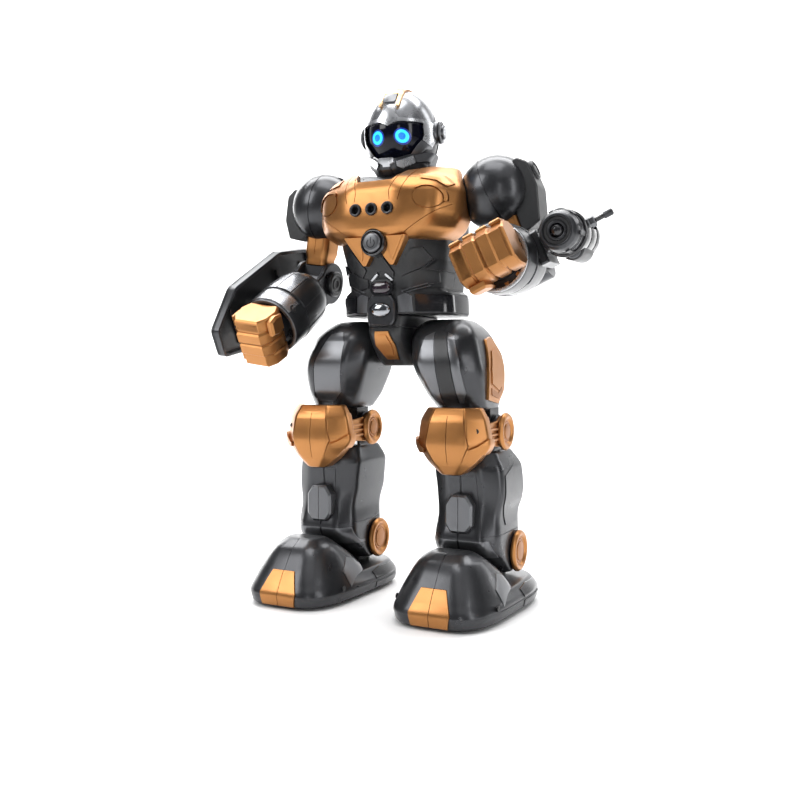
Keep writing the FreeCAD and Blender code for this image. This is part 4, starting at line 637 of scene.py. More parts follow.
put(join("eye_rings", *glow_parts["eye_glow"]), "head", "eye_glow", nodes=("eye_lights",))
put(join("eye_cores", *glow_parts["eye_core"]), "head", "eye_glow", "eye_core")
# crest: the gold arch over the top, its pale frame and the grey block that it holds
crest = layer("crest_arch", skull, -0.3, 1.9, prism("a", [(-31, 349.0), (-25, 349.0), (-14, 352), (14, 348), (20, 343), (20, 372), (-31, 372)], "YZ", -7, 7, m=HEAD))
put(crest, "head", "gold_plastic", nodes=("helmet_crest",), bevel=0.5)
FRAME = [(-7.3, 339.5), (-5.1, 339.5), (-5.1, 349.6), (5.1, 349.6), (5.1, 339.5), (7.3, 339.5), (7.6, 350.5), (5.6, 352.6), (-5.6, 352.6), (-7.6, 350.5)]
put(layer("crest_frame", skull, -0.3, 2.7, hp(FRAME, -60, -15)), "head", "gold_plastic", "gold_pale", bevel=0.3)
put(layer("crest_bed", skull, -0.3, 1.2, hp([(-5.1, 341.2), (5.1, 341.2), (5.1, 350), (-5.1, 350)], -60, -15)), "head", "black_plastic", "mark")
put(layer("crest_block", skull, -0.3, 2.9, prism("a", [(-4.4, 342.6), (4.4, 342.6), (4.4, 349.0), (-4.4, 349.0)], "XZ", -60, -15, m=HEAD, r=1.2)), "head", "silver_plastic", "steel_grey")
# ear pods
for n, s in SIDES:
    ax = "X" if s > 0 else "-X"
    put(turn(f"ear_pod_{n}", [(0, 0), (7.8, 0), (7.8, 9.6), (7.4, 10.4), (6.9, 10.4), (6.9, 11.2), (7.4, 11.2), (7.8, 11.7), (7.4, 12.4), (6.0, 12.8), (5.6, 12.0), (4.9, 12.0), (4.9, 14.0), (4.2, 14.3), (0, 14.3)], (s * 16.6, -6, 327), ax, HEAD, r=0.2),
        "head", "gunmetal_plastic", "steel_grey", nodes=("ear_pods",) if s > 0 else ())
    put(turn(f"ear_cap_{n}", [(0, 13.8), (3.6, 13.8), (3.4, 14.4), (2.2, 14.7), (0, 14.7)], (s * 16.6, -6, 327), ax, HEAD, seg=40), "head", "silver_plastic")
    put(turn(f"ear_band_{n}", [(6.4, 10.5), (7.7, 10.5), (7.7, 11.1), (6.4, 11.1)], (s * 16.6, -6, 327), ax, HEAD), "head", "black_plastic", "mark")
    g = lambda pts: [(s * x, z) for x, z in pts]
    put(layer(f"visor_post_{n}", skull, -1.0, 1.5, hp(g([(20.2, 331.4), (25.6, 331.4), (26.2, 320.5), (23.4, 316.0), (20.6, 317.8), (21.6, 321.5), (21.2, 329.6)]))), "head", "silver_plastic")
    put(layer(f"visor_rim_{n}", skull, -1.0, 1.6, hp(g([(20.2, 317.6), (23.6, 315.6), (15.8, 306.4), (8.2, 301.2), (5.8, 303.4), (12.8, 307.6)]))), "head", "gunmetal_plastic", "steel_grey")
JAW = [(291.1, (0, 9.5, -35.5, 4, 4.5, 6, 9, 5)), (297.0, (0, 14.5, -40.2, 12, 5, 8, 16, 8)), (304.0, (0, 20.5, -42.0, 15, 5, 11, 24, 10)), (312.0, (0, 25.5, -39, 12, 6, 13, 27, 12))]


def jaw(g, **k):
    o = tower("jaw", JAW, g=g, r=3.0, step=1.5, edge=0.8, m=HEAD, **k)
    return cut(o, hp([(-6 + 0.2 * g, 303.5 + g * 0.6), (6 - 0.2 * g, 303.5 + g * 0.6), (23, 314.4 + g * 0.6), (-23, 314.4 + g * 0.6)], -60, -20))


put(jaw(0.0), "head", "gunmetal_plastic", nodes=("chin_guard",))
for n, s in SIDES:
    g = lambda pts: [(s * x, z) for x, z in pts]
    put(layer(f"cheek_band_{n}", jaw, -0.4, 1.1, hp(g([(6.6, 301.4), (8.6, 302.6), (15.0, 307.0), (16.0, 302.8), (9.4, 297.6), (6.8, 298.4)]))), "head", "silver_plastic")
    put(layer(f"cheek_end_{n}", jaw, -0.4, 1.0, hp(g([(15.4, 307.3), (23.6, 311.8), (26.5, 310.0), (24.5, 306.0), (16.6, 303.0)]))), "head", "gunmetal_plastic", "steel_grey")
    put(layer(f"jaw_slot_{n}", jaw, -0.4, 0.5, hp(g([(7.0, 296.4), (13.0, 300.4), (20.0, 303.6), (20.0, 301.8), (12.6, 298.2), (7.4, 294.6)]))), "head", "black_plastic")
put(layer("chin_piece", jaw, -0.4, 1.4, hp([(-4.8, 303.4), (4.8, 303.4), (5.4, 300.6), (2.7, 299.2), (2.2, 296.8), (-2.2, 296.8), (-2.7, 299.2), (-5.4, 300.6)])), "head", "silver_plastic")
put(layer("chin_tip", jaw, -0.4, 1.7, hp([(-2.4, 297.6), (2.4, 297.6), (3.3, 294.6), (2.2, 291.6), (-2.2, 291.6), (-3.3, 294.6)])), "head", "black_plastic", "gunmetal_plastic")
collar = turn("neck_collar", [(29.5, 290.6), (34.9, 290.6), (34.9, 296.0), (33.6, 297.8), (31.6, 297.4), (29.5, 294.5)], (0, -7, 0), "Z", r=0.6)
combine(collar, trunk(-1.6, edge=0.6), "INTERSECT")
put(collar, "torso", "gunmetal_plastic")

# ------------------------------------------------------------------ arms
BARREL = [(-66.0, 21.3), (-62.0, 21.55), (-58.0, 21.8), (-51.0, 22.0), (-44.0, 22.0), (-35.0, 21.5), (-26.0, 20.6), (-20.0, 18.6), (-16.0, 16.5)]


def bar_r(z):
    return curve([(a, (b,)) for a, b in BARREL], z)[0]


for n, s in SIDES:
    up, fo = UPPER[s], FORE[s]
    out, inn = ("X", "-X") if s > 0 else ("-X", "X")
    arm, fore, hand = f"arm_{n}", f"forearm_{n}", f"hand_{n}"
    # ball: two shells with a seam ring, hollow, open at the hub
    prof = []
    for a in range(-66, 91, 3):
        z = 25.5 * math.sin(math.radians(a))
        prof.append((25.5 * math.cos(math.radians(a)) if a < 90 else 0.0, z))
    k = [i for i, (_, z) in enumerate(prof) if z > -0.01][0]
    prof[k:k + 1] = [(25.5, -0.3), (25.05, -0.2), (25.05, 0.2), (25.5, 0.3)]
    inner = [(23.0 * math.cos(math.radians(a)) if a > -90 and a < 90 else 0.0, 23.0 * math.sin(math.radians(a))) for a in range(90, -91, -6)]
    prof = [(0.0, prof[0][1])] + prof
    ball = turn(f"shoulder_ball_{n}", prof, (0, 0, 0), out, up, seg=96)
    cut(ball, turn("in", [p for p in inner[::-1]], (0, 0, 0), out, up, seg=48))
    fan = [(0.0, 0.0)] + [(-s * 36 * math.cos(math.radians(a)), 36 * math.sin(math.radians(a))) for a in (-10, 9, 28, 47, 66)]
    cut(ball, prism("hub_slot", fan, "XZ", -6.2, 6.2, m=up))
    put(ball, arm, "gunmetal_plastic", nodes=(f"shoulder_shell_{n}",))
    strap = [(s * x, z) for x, z in ([(14, -36), (22, -34), (29.5, -12), (29.5, 6), (24, 12), (12, 12), (8, -36)] if s > 0 else [(14, -26), (24, -25), (29.5, -12), (29.5, 6), (24, 12), (12, 12), (8, -26)])]
    st = prism(f"shoulder_strap_{n}", strap, "XZ", -10, 10, m=up, r=1.5, edge=0.9)
    cut(st, turn("room", [(0, -25.45)] + [(25.45 * math.cos(math.radians(a)), 25.45 * math.sin(math.radians(a))) for a in range(-84, 85, 6)] + [(0, 25.45)], (0, 0, 0), "X", up, seg=72))
    put(st, arm, "black_plastic")
    put(turn(f"shoulder_boss_{n}", [(0, 0), (7.0, 0), (7.0, 9.6), (6.4, 10.6), (5.6, 11.0), (4.9, 10.6), (4.6, 9.6), (3.4, 9.6), (3.2, 10.4), (0, 10.6)], (s * 20.5, 0, 1), out, up, r=0.25), arm, "black_plastic")
    # gold arm block and elbow knuckle
    a_tab = [(-43.0, (0, 8.9, -8.9, 8.9, 6, 6, 3, 3)), (-37.5, (0, 8.9, -9, 9, 6, 6, 3, 3)), (-33.0, (0, 10, -10, 10, 7, 7, 3, 3)), (-17.5, (0, 10, -10, 10, 7, 7, 3, 3))]
    blk = tower(f"arm_block_{n}", a_tab, r=1.2, step=3, edge=0.9, m=up, straight=True)
    for side in (-1, 1):
        cut(blk, block("line", -0.25, 0.25, side * 9.4, side * 12, -60, -10, m=up))
    put(blk, arm, "gold_plastic", nodes=(f"upper_arm_{n}",))
    kn = rod(f"elbow_knuckle_{n}", 9.0, -8.8, 8.8, (0, 0, -55), "X", up, r=0.8)
    cut(kn, rod("bore", 3.12, -12, 12, (0, 0, -55), "X", up, seg=32))
    put(kn, arm, "black_plastic", "gunmetal_plastic")
    nk = block(f"elbow_neck_{n}", -8.7, 8.7, -7, 7, -55, -42, m=up, edge=0.6)
    cut(nk, rod("bore", 3.12, -12, 12, (0, 0, -55), "X", up, seg=32))
    put(nk, arm, "black_plastic", "gunmetal_plastic")
    # forearm barrel
    prof = [(0, -16.0), (15.6, -16.0), (16.7, -16.8)] + [(bar_r(z), z) for z in (-19, -22, -26, -31, -36, -41, -46, -49.6)] + [(bar_r(-50) - 0.5, -49.8), (bar_r(-50) - 0.5, -50.4), (bar_r(-50), -50.6)]
    prof += [(bar_r(z), z) for z in (-54, -58, -62, -64.6)] + [(21.0, -65.8), (20.4, -66.0), (19.0, -66.0), (18.6, -65.4), (18.6, -60.0), (5.15, -60.0), (5.15, -57.5), (19.0, -57.5), (19.5, -44), (18.0, -28), (14.2, -18.4), (0, -18.4)]
    fs = turn(f"forearm_barrel_{n}", prof, (0, 0, 0), "Z", fo, seg=96)
    put(fs, fore, "gunmetal_plastic", nodes=(f"forearm_shell_{n}",), sharp=28)
    for k in (-1, 1):
        ear = [(15.5 * math.cos(math.radians(a)), 15.5 * math.sin(math.radians(a))) for a in range(-38, 219, 8)] + [(-12, -22), (12, -22)]
        e = prism(f"elbow_cheek_{n}_{k + 1}", ear, "YZ", k * 9.3, k * 13.3, m=fo, edge=0.8)
        cut(e, rod("bore", 3.1, -20, 20, (0, 0, 0), "X", fo, seg=32))
        put(e, fore, "gunmetal_plastic")
        put(turn(f"elbow_cover_{n}_{k + 1}", [(0, 0), (3.0, 0), (3.0, 11.5), (9.4, 11.5), (9.4, 13.9), (8.6, 14.9), (6.8, 14.9), (6.3, 13.9), (4.6, 13.9), (4.2, 14.5), (3.0, 14.5), (2.6, 13.4), (0, 13.4)], (k * 2.0, 0, 0), "X" if k > 0 else "-X", fo, r=0.25), fore, "black_plastic")
    heel = [(15.5 * math.cos(math.radians(a)), 15.5 * math.sin(math.radians(a))) for a in range(-56, 37, 6)] + [(13.2 * math.cos(math.radians(a)), 13.2 * math.sin(math.radians(a))) for a in range(34, -57, -6)]
    put(prism(f"elbow_heel_{n}", heel, "YZ", -12, 12, m=fo), fore, "black_plastic", "gunmetal_plastic")
    # light panel on the top, wrist band, rim
    zr = [(z, bar_r(z)) for z in (-49.2, -46, -42, -38, -34, -30, -26, -22.5)]
    put(join(f"forearm_panel_{n}", sector("a", zr, -0.6, 0.7, -90.6 - 29, -90.7, fo), sector("b", zr, -0.6, 0.7, -89.3, -89.4 + 29, fo)), fore, "silver_plastic", "helmet_grey" if s < 0 else "gunmetal_plastic", bevel=0.35)
    for i, (a0, a1) in enumerate(((-58, -22), (-158, -122), (20, 70), (110, 160))):
        put(sector(f"forearm_skin_{n}_{i}", zr, -0.6, 0.45, a0, a1, fo), fore, "gunmetal_plastic", bevel=0.3)
    zb = [(z, bar_r(z)) for z in (-64.4, -61, -58, -55, -52)]
    put(sector(f"wrist_band_{n}", zb, -0.6, 0.55, -145, -35, fo, n=36), fore, "silver_plastic", "helmet_grey" if s < 0 else "gunmetal_plastic", bevel=0.3)
    put(turn(f"wrist_rim_{n}", [(18.7, -66.3), (21.0, -66.3), (21.2, -65.6), (18.7, -65.6)], (0, 0, 0), "Z", fo, seg=96, r=0.15), fore, "silver_plastic", "steel_grey" if s < 0 else "silver_plastic")
    studs = [block("stud", 16.4, 18.5, -1.3, 1.3, -64.6, -60.0, m=fo @ R(a, "Z"), edge=0.3) for a in range(0, 360, 30)]
    put(join(f"wrist_studs_{n}", *studs), fore, "black_plastic", "bronze" if s > 0 else "black_plastic")
    # forearm screw hole
    for z in (-59.0,):
        mm = fo @ R(-35 if s < 0 else -145, "Z")
        put(turn(f"forearm_screw_{n}", [(1.5, 21.2), (2.9, 21.2), (2.9, 22.3), (1.5, 22.3)], (0, 0, z), "X", mm, seg=24, r=0.15), fore, "black_plastic")
        put(turn(f"forearm_screw_dark_{n}", [(0, 21.2), (1.7, 21.2), (1.7, 22.0), (0, 22.0)], (0, 0, z), "X", mm, seg=24), fore, "black_plastic", "mark")
    # fist
    ha = fo @ R(-90, "Z") if s > 0 else fo
    fist = [(-9.5, -92), (9.5, -92), (14, -86), (15, -74), (11.5, -66.6), (-11.5, -66.6), (-15, -74), (-14, -86)]
    bits = []
    for i, (y0, y1, dz) in enumerate(((-18.5, -9.5, 1.6), (-8.9, -0.3, 0.0), (0.3, 8.9, 0.3), (9.5, 18.5, 2.2))):
        q = [(x * (1.0 if abs(z) < 80 else 0.98), z if z > -80 else z + dz) for x, z in fist]
        bits.append(prism("finger", q, "XZ", y0, y1, m=ha, edge=1.1))
    core = prism("core", inset(fist, 1.6), "XZ", -16, 16, m=ha)
    put(join(f"fist_fingers_{n}", core, *bits), hand, "gold_plastic", nodes=(f"fist_{n}",))
    th = [(-16.5, -85.5), (-6.0, -86.0), (-4.2, -79.5), (-5.0, -72.5), (-16.0, -72.0), (-17.8, -79)]
    put(prism(f"fist_thumb_{n}", th, "YZ", -s * 12.5, -s * 18.0, m=ha, edge=1.4), hand, "gold_plastic")
    kk = [(-17.0, -84.5), (17.0, -84.5), (15.5, -72.5), (-15.5, -72.5)]
    for y0, y1 in ((-17.6, -10.2), (-8.2, -1.0), (1.0, 8.2), (10.2, 17.6)):
        put(prism(f"fist_knuckle_{n}_{int(y0 + 20)}", [(y0, -85.5), (y1, -85.5), (y1, -77.0), (y0, -77.0)], "YZ", s * 13.0, s * 15.9, m=ha, edge=0.9), hand, "gold_plastic")
    put(turn(f"wrist_plug_{n}", [(0, -53.8), (8.0, -53.8), (8.0, -56.8), (5.0, -56.8), (5.0, -60.6), (13.2, -60.6), (13.2, -68.0), (0, -68.0)], (0, 0, 0), "Z", fo, r=0.25), hand, "black_plastic", "gunmetal_plastic")

# shield on the right forearm
fo = FORE[-1]
PROFILE = [(-25, 24), (-31, -4), (-32.5, -60), (-27, -98), (-24.2, -97.6), (-29.8, -60), (-28.3, -4.4), (-22.4, 23.2)]
OUTLINE = [(-15, 23), (10, 23), (24, -8), (25, -64), (10, -97), (-11, -97), (-26, -64), (-26, -6)]
plate = prism("shield_plate", PROFILE, "XZ", -30, 30, m=fo)
combine(plate, prism("o", OUTLINE, "YZ", -40, -15, m=fo, r=3.0), "INTERSECT")
for z in (-4.2, -60.0):
    cut(plate, block("fold", -33.4, -30.2 if z < -10 else -29.0, -40, 40, z - 0.3, z + 0.3, m=fo))
put(plate, "forearm_right", "black_plastic", nodes=("shield",), bevel=0.35)
rim = prism("shield_rim", [(-25.2, 24), (-31.2, -4), (-32.7, -60), (-27.2, -98), (-20.6, -97.2), (-26.0, -60), (-24.6, -4.6), (-18.8, 22.6)], "XZ", -30, 30, m=fo)
combine(rim, prism("o", OUTLINE, "YZ", -40, -15, m=fo, r=3.0), "INTERSECT")
cut(rim, prism("hole", [(y * 0.90, -37.0 + (z + 37.0) * 0.957) for y, z in OUTLINE], "YZ", -45, -10, m=fo, r=3.0))
put(rim, "forearm_right", "black_plastic", "gunmetal_plastic", bevel=0.7)
for i, z in enumerate((-30.0, -50.0)):
    put(rod(f"shield_peg_{i}", 4.5, -31.0, -20.0, (0, 0, z), "X", fo, r=0.5), "forearm_right", "black_plastic")
for i, (a, b) in enumerate((((-8, 14), (8, 14)), ((-14, -12), (14, -12)), ((-14, -72), (14, -72)))):
    put(block(f"shield_rib_{i}", -29.5 if i != 0 else -26.5, -26.6 if i != 0 else -22.8, a[0], b[0], a[1] - 1.0, a[1] + 1.0, m=fo, edge=0.4), "forearm_right", "black_plastic")
spine = prism("shield_spine", [(-25.8, 22), (-32.0, -5), (-33.3, -60), (-28.2, -95), (-26.8, -95), (-31.5, -60), (-30.0, -5), (-24.4, 22)], "XZ", -7, 7, m=fo)
put(spine, "forearm_right", "black_plastic", "gunmetal_plastic", bevel=0.5)

# launcher on the left forearm
fo = FORE[1]
BX, BY = 41.0, 3.0
core = turn("launcher_core", [(4.4, -50.0), (13.4, -50.0), (14.5, -49.0), (14.5, -40.4), (13.8, -40.0), (13.8, -38.6), (14.5, -38.2), (14.5, -27.0), (13.8, -26.6), (13.8, -25.2), (14.5, -24.8), (14.5, -18.0), (13.0, -16.0), (4.4, -16.0)], (BX, BY, 0), "Z", fo, r=0.2)
cut(core, block("slot", BX + 8.0, BX + 20, BY - 2.7, BY + 2.7, -46, -23, m=fo))
put(core, "forearm_left", "black_plastic", "black_gloss", nodes=("launcher_body",))
for i, y in enumerate((9.5, -9.5)):
    put(turn(f"launcher_lobe_{i}", [(0, -46.0), (6.6, -46.0), (7.5, -45.0), (7.5, -21.2), (6.4, -20.0), (0, -20.0)], (BX, BY + y, 0), "Z", fo, r=0.3), "forearm_left", "black_plastic")
    put(turn(f"launcher_port_{i}", [(3.0, -46.8), (5.2, -46.8), (5.4, -45.8), (3.0, -45.8)], (BX, BY + y * 1.12, 0), "Z", fo, seg=32, r=0.15), "forearm_left", "gunmetal_plastic", "steel_grey")
put(block("launcher_foot", 16, 29, BY - 6, BY + 6, -46, -24, m=fo, edge=0.8), "forearm_left", "gunmetal_plastic", "steel_grey")
put(block("launcher_saddle", 19.5, 25.5, BY - 11, BY + 11, -48, -22, m=fo, edge=1.2), "forearm_left", "gunmetal_plastic")
put(turn("launcher_muzzle", [(4.4, 0), (12.6, 0), (12.6, 5), (11.2, 5.2), (11.2, 6.2), (12.4, 6.4), (12.4, 11), (11.4, 14.5), (9.8, 17), (8.6, 17), (8.2, 15.4), (6.2, 15.4), (5.8, 16.4), (4.4, 16.4)], (BX, BY, -50.1), "-Z", fo, r=0.25), "forearm_left", "gunmetal_plastic", nodes=("launcher_barrel",))
put(turn("muzzle_ring", [(11.0, 5.3), (12.15, 5.3), (12.15, 6.1), (11.0, 6.1)], (BX, BY, -50.1), "-Z", fo), "forearm_left", "silver_plastic")
put(turn("muzzle_bed", [(6.3, 15.0), (8.1, 15.0), (8.1, 15.8), (6.3, 15.8)], (BX, BY, -50.1), "-Z", fo), "forearm_left", "black_plastic", "mark")
for i in range(6):
    mm = fo @ T((BX, BY, 0)) @ R(60 * i + 30, "Z") @ T((-BX, -BY, 0))
    put(block(f"muzzle_fin_{i}", BX + 11.6, BX + 13.4, BY - 1.4, BY + 1.4, -61.2, -50.6, m=mm, edge=0.4), "forearm_left", "gunmetal_plastic")
put(turn("dart_shaft", [(0, 0), (4.05, 0), (4.05, 27.5), (3.2, 28.4), (3.2, 29.2), (3.9, 29.8), (4.05, 31.2), (4.0, 32.6), (3.5, 34.4), (2.5, 35.6), (1.2, 36.3), (0, 36.4)], (BX, BY, -32), "-Z", fo, r=0.15), "dart", "gunmetal_plastic", "black_gloss", nodes=("dart",))
sl = block("handle_slider", BX + 9.0, BX + 15.4, BY - 2.4, BY + 2.4, -45, -38, m=fo, edge=0.5)
hexa = [(3.7 * math.cos(math.radians(a)), 3.7 * math.sin(math.radians(a))) for a in range(0, 360, 60)]
nut = prism("handle_nut", [(BY + y, -41.5 + z) for y, z in hexa], "YZ", BX + 15.3, BX + 18.6, m=fo, edge=0.4)
put(join("handle_parts", sl, nut), "cocking_handle", "gunmetal_plastic", "steel_grey", nodes=("cocking_handle",))
put(rod("handle_rod", 1.6, BX + 15.3, BX + 30.3, (0, BY, -41.5), "X", fo, seg=32, r=0.4), "cocking_handle", "gunmetal_plastic", "black_gloss")
put(turn("handle_grip", [(1.5, BX + 24.0), (2.2, BX + 24.4), (2.2, BX + 29.6), (1.5, BX + 30.0)], (0, BY, -41.5), "X", fo, seg=32, r=0.2), "cocking_handle", "gunmetal_plastic")

# ------------------------------------------------------------------ legs
THIGH = [
    (133.5, (50.0, 17.2, -25, 17, 9, 10, 8, 7)), (146.0, (47.0, 21.2, -35, 23.5, 12, 12, 11, 10)), (166.0, (42.8, 25.0, -41, 25, 14, 13, 12, 11)),
    (181.0, (39.6, 24, -36, 21, 13, 12, 11, 9)), (190.0, (37.0, 20.5, -27, 16, 11, 11, 8, 6)), (196.0, (35.5, 15, -16, 8, 8, 8, 4, 4)),
]
SHIN = [
    (22.0, (55.3, 24, -4, 26, 19, 17, 4, 7)), (47.0, (55.3, 24, -32, 29, 14, 14, 11, 10)), (62.0, (55.6, 22.5, -28, 35, 12, 12, 8, 13)),
    (77.0, (56.0, 24.5, -26, 42, 11, 12, 8, 16)), (93.0, (54.6, 25.0, -27, 40, 11, 13, 9, 15)), (106.0, (53.0, 20.5, -21, 28, 10, 11, 7, 10)),
]
CAP = [(92.0, (7, -42, 2)), (102.0, (18.5, -47, 8)), (113.0, (25.2, -49, 12)), (127.0, (23.5, -47.5, 10)), (136.5, (19, -42.5, 7))]
CAP_IN = [(90.0, (3.0, -38, 2)), (102.0, (15.9, -44.1, 8)), (113.0, (22.6, -46.2, 12)), (127.0, (20.9, -44.7, 10)), (138.5, (15.6, -38.6, 7))]
LOW = [(-20, -82), (20, -82), (30, -71), (35, -51), (37, -20), (38, 3), (35, 24), (24, 35), (-24, 35), (-35, 24), (-38, 3), (-37, -20), (-35, -51), (-30, -71)]
MID = [(x * 1.035, y * 1.02) for x, y in LOW]
TOP = [(-18, -78), (18, -78), (28, -67), (33, -48), (34, -20), (34, 3), (31, 22), (21, 32), (-21, 32), (-31, 22), (-34, 3), (-34, -20), (-33, -48), (-28, -67)]
DOME = [
    (2.0, [(-20, -82.2), (20, -82.2), (30.2, -71), (35.2, -51), (34, -24), (24, -9), (-24, -9), (-34, -24), (-35.2, -51), (-30.2, -71)]),
    (9.0, [(-20.6, -83.6), (20.6, -83.6), (31.0, -72.2), (36.2, -52), (35, -24), (24, -9), (-24, -9), (-35, -24), (-36.2, -52), (-31.0, -72.2)]),
    (17.0, [(-18.6, -80), (18.6, -80), (28.6, -69), (34, -50), (33, -23), (23, -10), (-23, -10), (-33, -23), (-34, -50), (-28.6, -69)]),
    (28.0, [(-15, -73), (15, -73), (24, -64), (29, -48), (28, -29), (20, -20), (-20, -20), (-28, -29), (-29, -48), (-24, -64)]),
    (38.0, [(-12, -65), (12, -65), (18.5, -58), (22.5, -47), (21, -38), (14, -33.5), (-14, -33.5), (-21, -38), (-22.5, -47), (-18.5, -58)]),
    (43.5, [(-8, -56), (8, -56), (12, -53), (14, -47), (13, -42), (9, -39.5), (-9, -39.5), (-13, -42), (-14, -47), (-12, -53)]),
]


def flat(pts):
    return [v for p in pts for v in p]


def free_ring(a, g=0.0):
    pts = [(a[i], a[i + 1]) for i in range(0, len(a), 2)]
    return inset(pts, -g) if abs(g) > 1e-6 else pts


for n, s in SIDES:
    th_b, sh_b, ft_b = f"thigh_{n}", f"shin_{n}", f"foot_{n}"
    out = "X" if s > 0 else "-X"
    fx, kx, ax = s * 56.0, s * 52.0, s * 55.3

    def thigh(g, **k):
        return tower("thigh", THIGH, g=g, r=4.5, step=2.2, edge=2.0, sx=s, **k)

    def shin(g, **k):
        return tower("shin", SHIN, g=g, r=4.0, step=2.2, edge=1.0, sx=s, **k)

    # thigh
    t = thigh(0.0)
    cut(t, rod("hip_bore", 5.2, 8, 33, (0, -4, 173), out), block("split", s * 43.0 - 0.15, s * 43.0 + 0.15, -60, 60, 120, 210), rod("knee_room", 3.15, -20, 20, (kx, 0, 119), "X", seg=32))
    put(t, th_b, "gunmetal_plastic", nodes=(f"thigh_shell_{n}",))
    kn = rod(f"knee_knuckle_{n}", 11.0, -15.5, 15.5, (kx, 0, 119), "X", r=1.0)
    put(cut(kn, rod("bore", 3.15, -20, 20, (kx, 0, 119), "X", seg=32)), th_b, "black_plastic")
    nk = block(f"knee_neck_{n}", kx - 15.4, kx + 15.4, -8.5, 8.5, 120, 136, edge=0.8)
    put(cut(nk, rod("bore", 3.15, -20, 20, (kx, 0, 119), "X", seg=32)), th_b, "black_plastic")
    g = lambda pts: [(s * x, z) for x, z in pts]
    facet = [(35.5, 188.0), (44.0, 186.5), (52.5, 166), (56.0, 146), (55.0, 139), (42.5, 139), (35.0, 146), (31.0, 166), (31.0, 180)]
    if s > 0:
        put(layer("thigh_facet_left_in", thigh, -0.3, 0.5, prism("a", [(31.0, 184.0), (36.6, 187.0), (40.6, 166), (42.2, 139.0), (37.5, 141), (31.0, 150), (27.6, 166)], "XZ", -60, -10)), th_b, "gunmetal_plastic", "steel_grey")
        put(layer("thigh_stripe_left", thigh, -0.3, 0.6, prism("a", [(37.4, 187.2), (45.6, 186.2), (51.4, 166), (53.6, 139.0), (43.2, 139.0), (41.4, 166)], "XZ", -60, -10)), th_b, "black_plastic")
        put(layer("thigh_facet_left_out", thigh, -0.3, 0.5, prism("a", [(46.4, 186.2), (51.5, 184.0), (57.5, 168), (60.0, 146), (57.0, 139.0), (54.4, 139.0), (52.2, 166)], "XZ", -60, -10)), th_b, "gunmetal_plastic", "steel_grey")
    else:
        put(layer("thigh_facet_right", thigh, -0.3, 0.5, prism("a", g(facet), "XZ", -60, -10)), th_b, "gunmetal_plastic", "steel_grey")
        put(layer("thigh_facet_right_out", thigh, -0.3, 0.45, prism("a", g([(45.2, 187.0), (50.5, 184.0), (60.0, 168), (62.0, 150), (57.6, 140.5), (56.6, 146), (53.2, 166)]), "XZ", -60, -8)), th_b, "gunmetal_plastic")
    put(layer(f"thigh_back_{n}", thigh, -0.3, 0.5, prism("a", g([(30, 176), (52, 176), (57, 160), (56, 146), (34, 146), (28, 160)]), "XZ", 8, 60)), th_b, "gunmetal_plastic")
    area = [(-17, 141), (2, 138), (13, 148), (12, 172), (1, 184), (-10, 182), (-18, 162)]
    put(layer(f"thigh_gold_{n}", thigh, -0.3, 1.8, prism("a", area, "YZ", s * 50, s * 82)), th_b, "gold_plastic", nodes=(f"thigh_panel_{n}",))
    put(layer(f"thigh_gold_in_{n}", thigh, -0.3, 2.5, prism("a", [(-13, 152), (1, 147), (8.5, 153), (7.5, 168), (-1, 176), (-8, 174), (-14, 162)], "YZ", s * 50, s * 82)), th_b, "gold_plastic")
    put(layer(f"thigh_gold_step_{n}", thigh, -0.3, 2.2, prism("a", [(-13, 149), (-12, 144), (1, 141.4), (7.5, 147), (6.0, 149.6), (0.5, 145.2)], "YZ", s * 50, s * 82)), th_b, "gold_plastic", "bronze")
    # shin
    t = shin(0.0)
    inner = [(z, tuple([a[0], a[1] - 2.4, a[2] + 2.4, a[3] - 2.4, max(a[4] - 1, 1), max(a[5] - 1, 1), a[6], a[7]])) for z, a in SHIN]
    inner[0] = (20.0, inner[0][1])
    inner[-1] = (103.6, inner[-1][1])
    cut(t, tower("in", inner, r=5.0, step=4.0, edge=0.0, sx=s), block("split", s * 53.6 - 0.15, s * 53.6 + 0.15, -60, 60, 10, 120), rod("ankle_bore", 3.1, -40, 40, (ax, 12, 35), "X", seg=32))
    for z in (50.6,):
        gr = cut(block("line", s * 20, s * 90, -60, 60, z - 0.22, z + 0.22), shin(-0.6))
        cut(t, gr)
    put(t, sh_b, "gunmetal_plastic", nodes=(f"shin_shell_{n}",))
    for k in (1, -1):
        ear = [(11.5 * math.cos(math.radians(a)), 119 + 11.5 * math.sin(math.radians(a))) for a in range(-20, 201, 10)] + [(-10.5, 103.5), (10.5, 103.5)]
        e = prism(f"knee_cheek_{n}_{k + 1}", ear, "YZ", kx + k * 16.2, kx + k * 19.2, edge=0.6)
        put(cut(e, rod("bore", 3.1, -40, 40, (kx, 0, 119), "X", seg=32)), sh_b, "gunmetal_plastic")
    pad = [(-5.8, 52.4), (5.8, 52.4), (9.8, 58), (9.8, 71.5), (5.4, 78), (-5.4, 78), (-9.8, 71.5), (-9.8, 58)]
    pad = [(s * 54.4 + x, z) for x, z in pad]
    po = prism(f"shin_pad_{n}", pad, "XZ", -34.0, -24, r=0.8, edge=1.4)
    cut(po, block("split", s * 54.4 - 0.2, s * 54.4 + 0.2, -40, -32.8, 40, 90))
    put(po, sh_b, "gunmetal_plastic", "steel_grey")
    put(layer(f"shin_front_{n}", shin, -0.3, 0.5, prism("a", g([(44.2, 90), (52.9, 90), (52.9, 50), (41.0, 50), (42.0, 60), (45.6, 70)]), "XZ", -60, -10)), sh_b, "gunmetal_plastic")
    put(layer(f"shin_front_out_{n}", shin, -0.3, 0.5, prism("a", g([(54.3, 90), (64.5, 90), (66.0, 72), (68.6, 58), (69.5, 50), (54.3, 50)]), "XZ", -60, -10)), sh_b, "gunmetal_plastic")
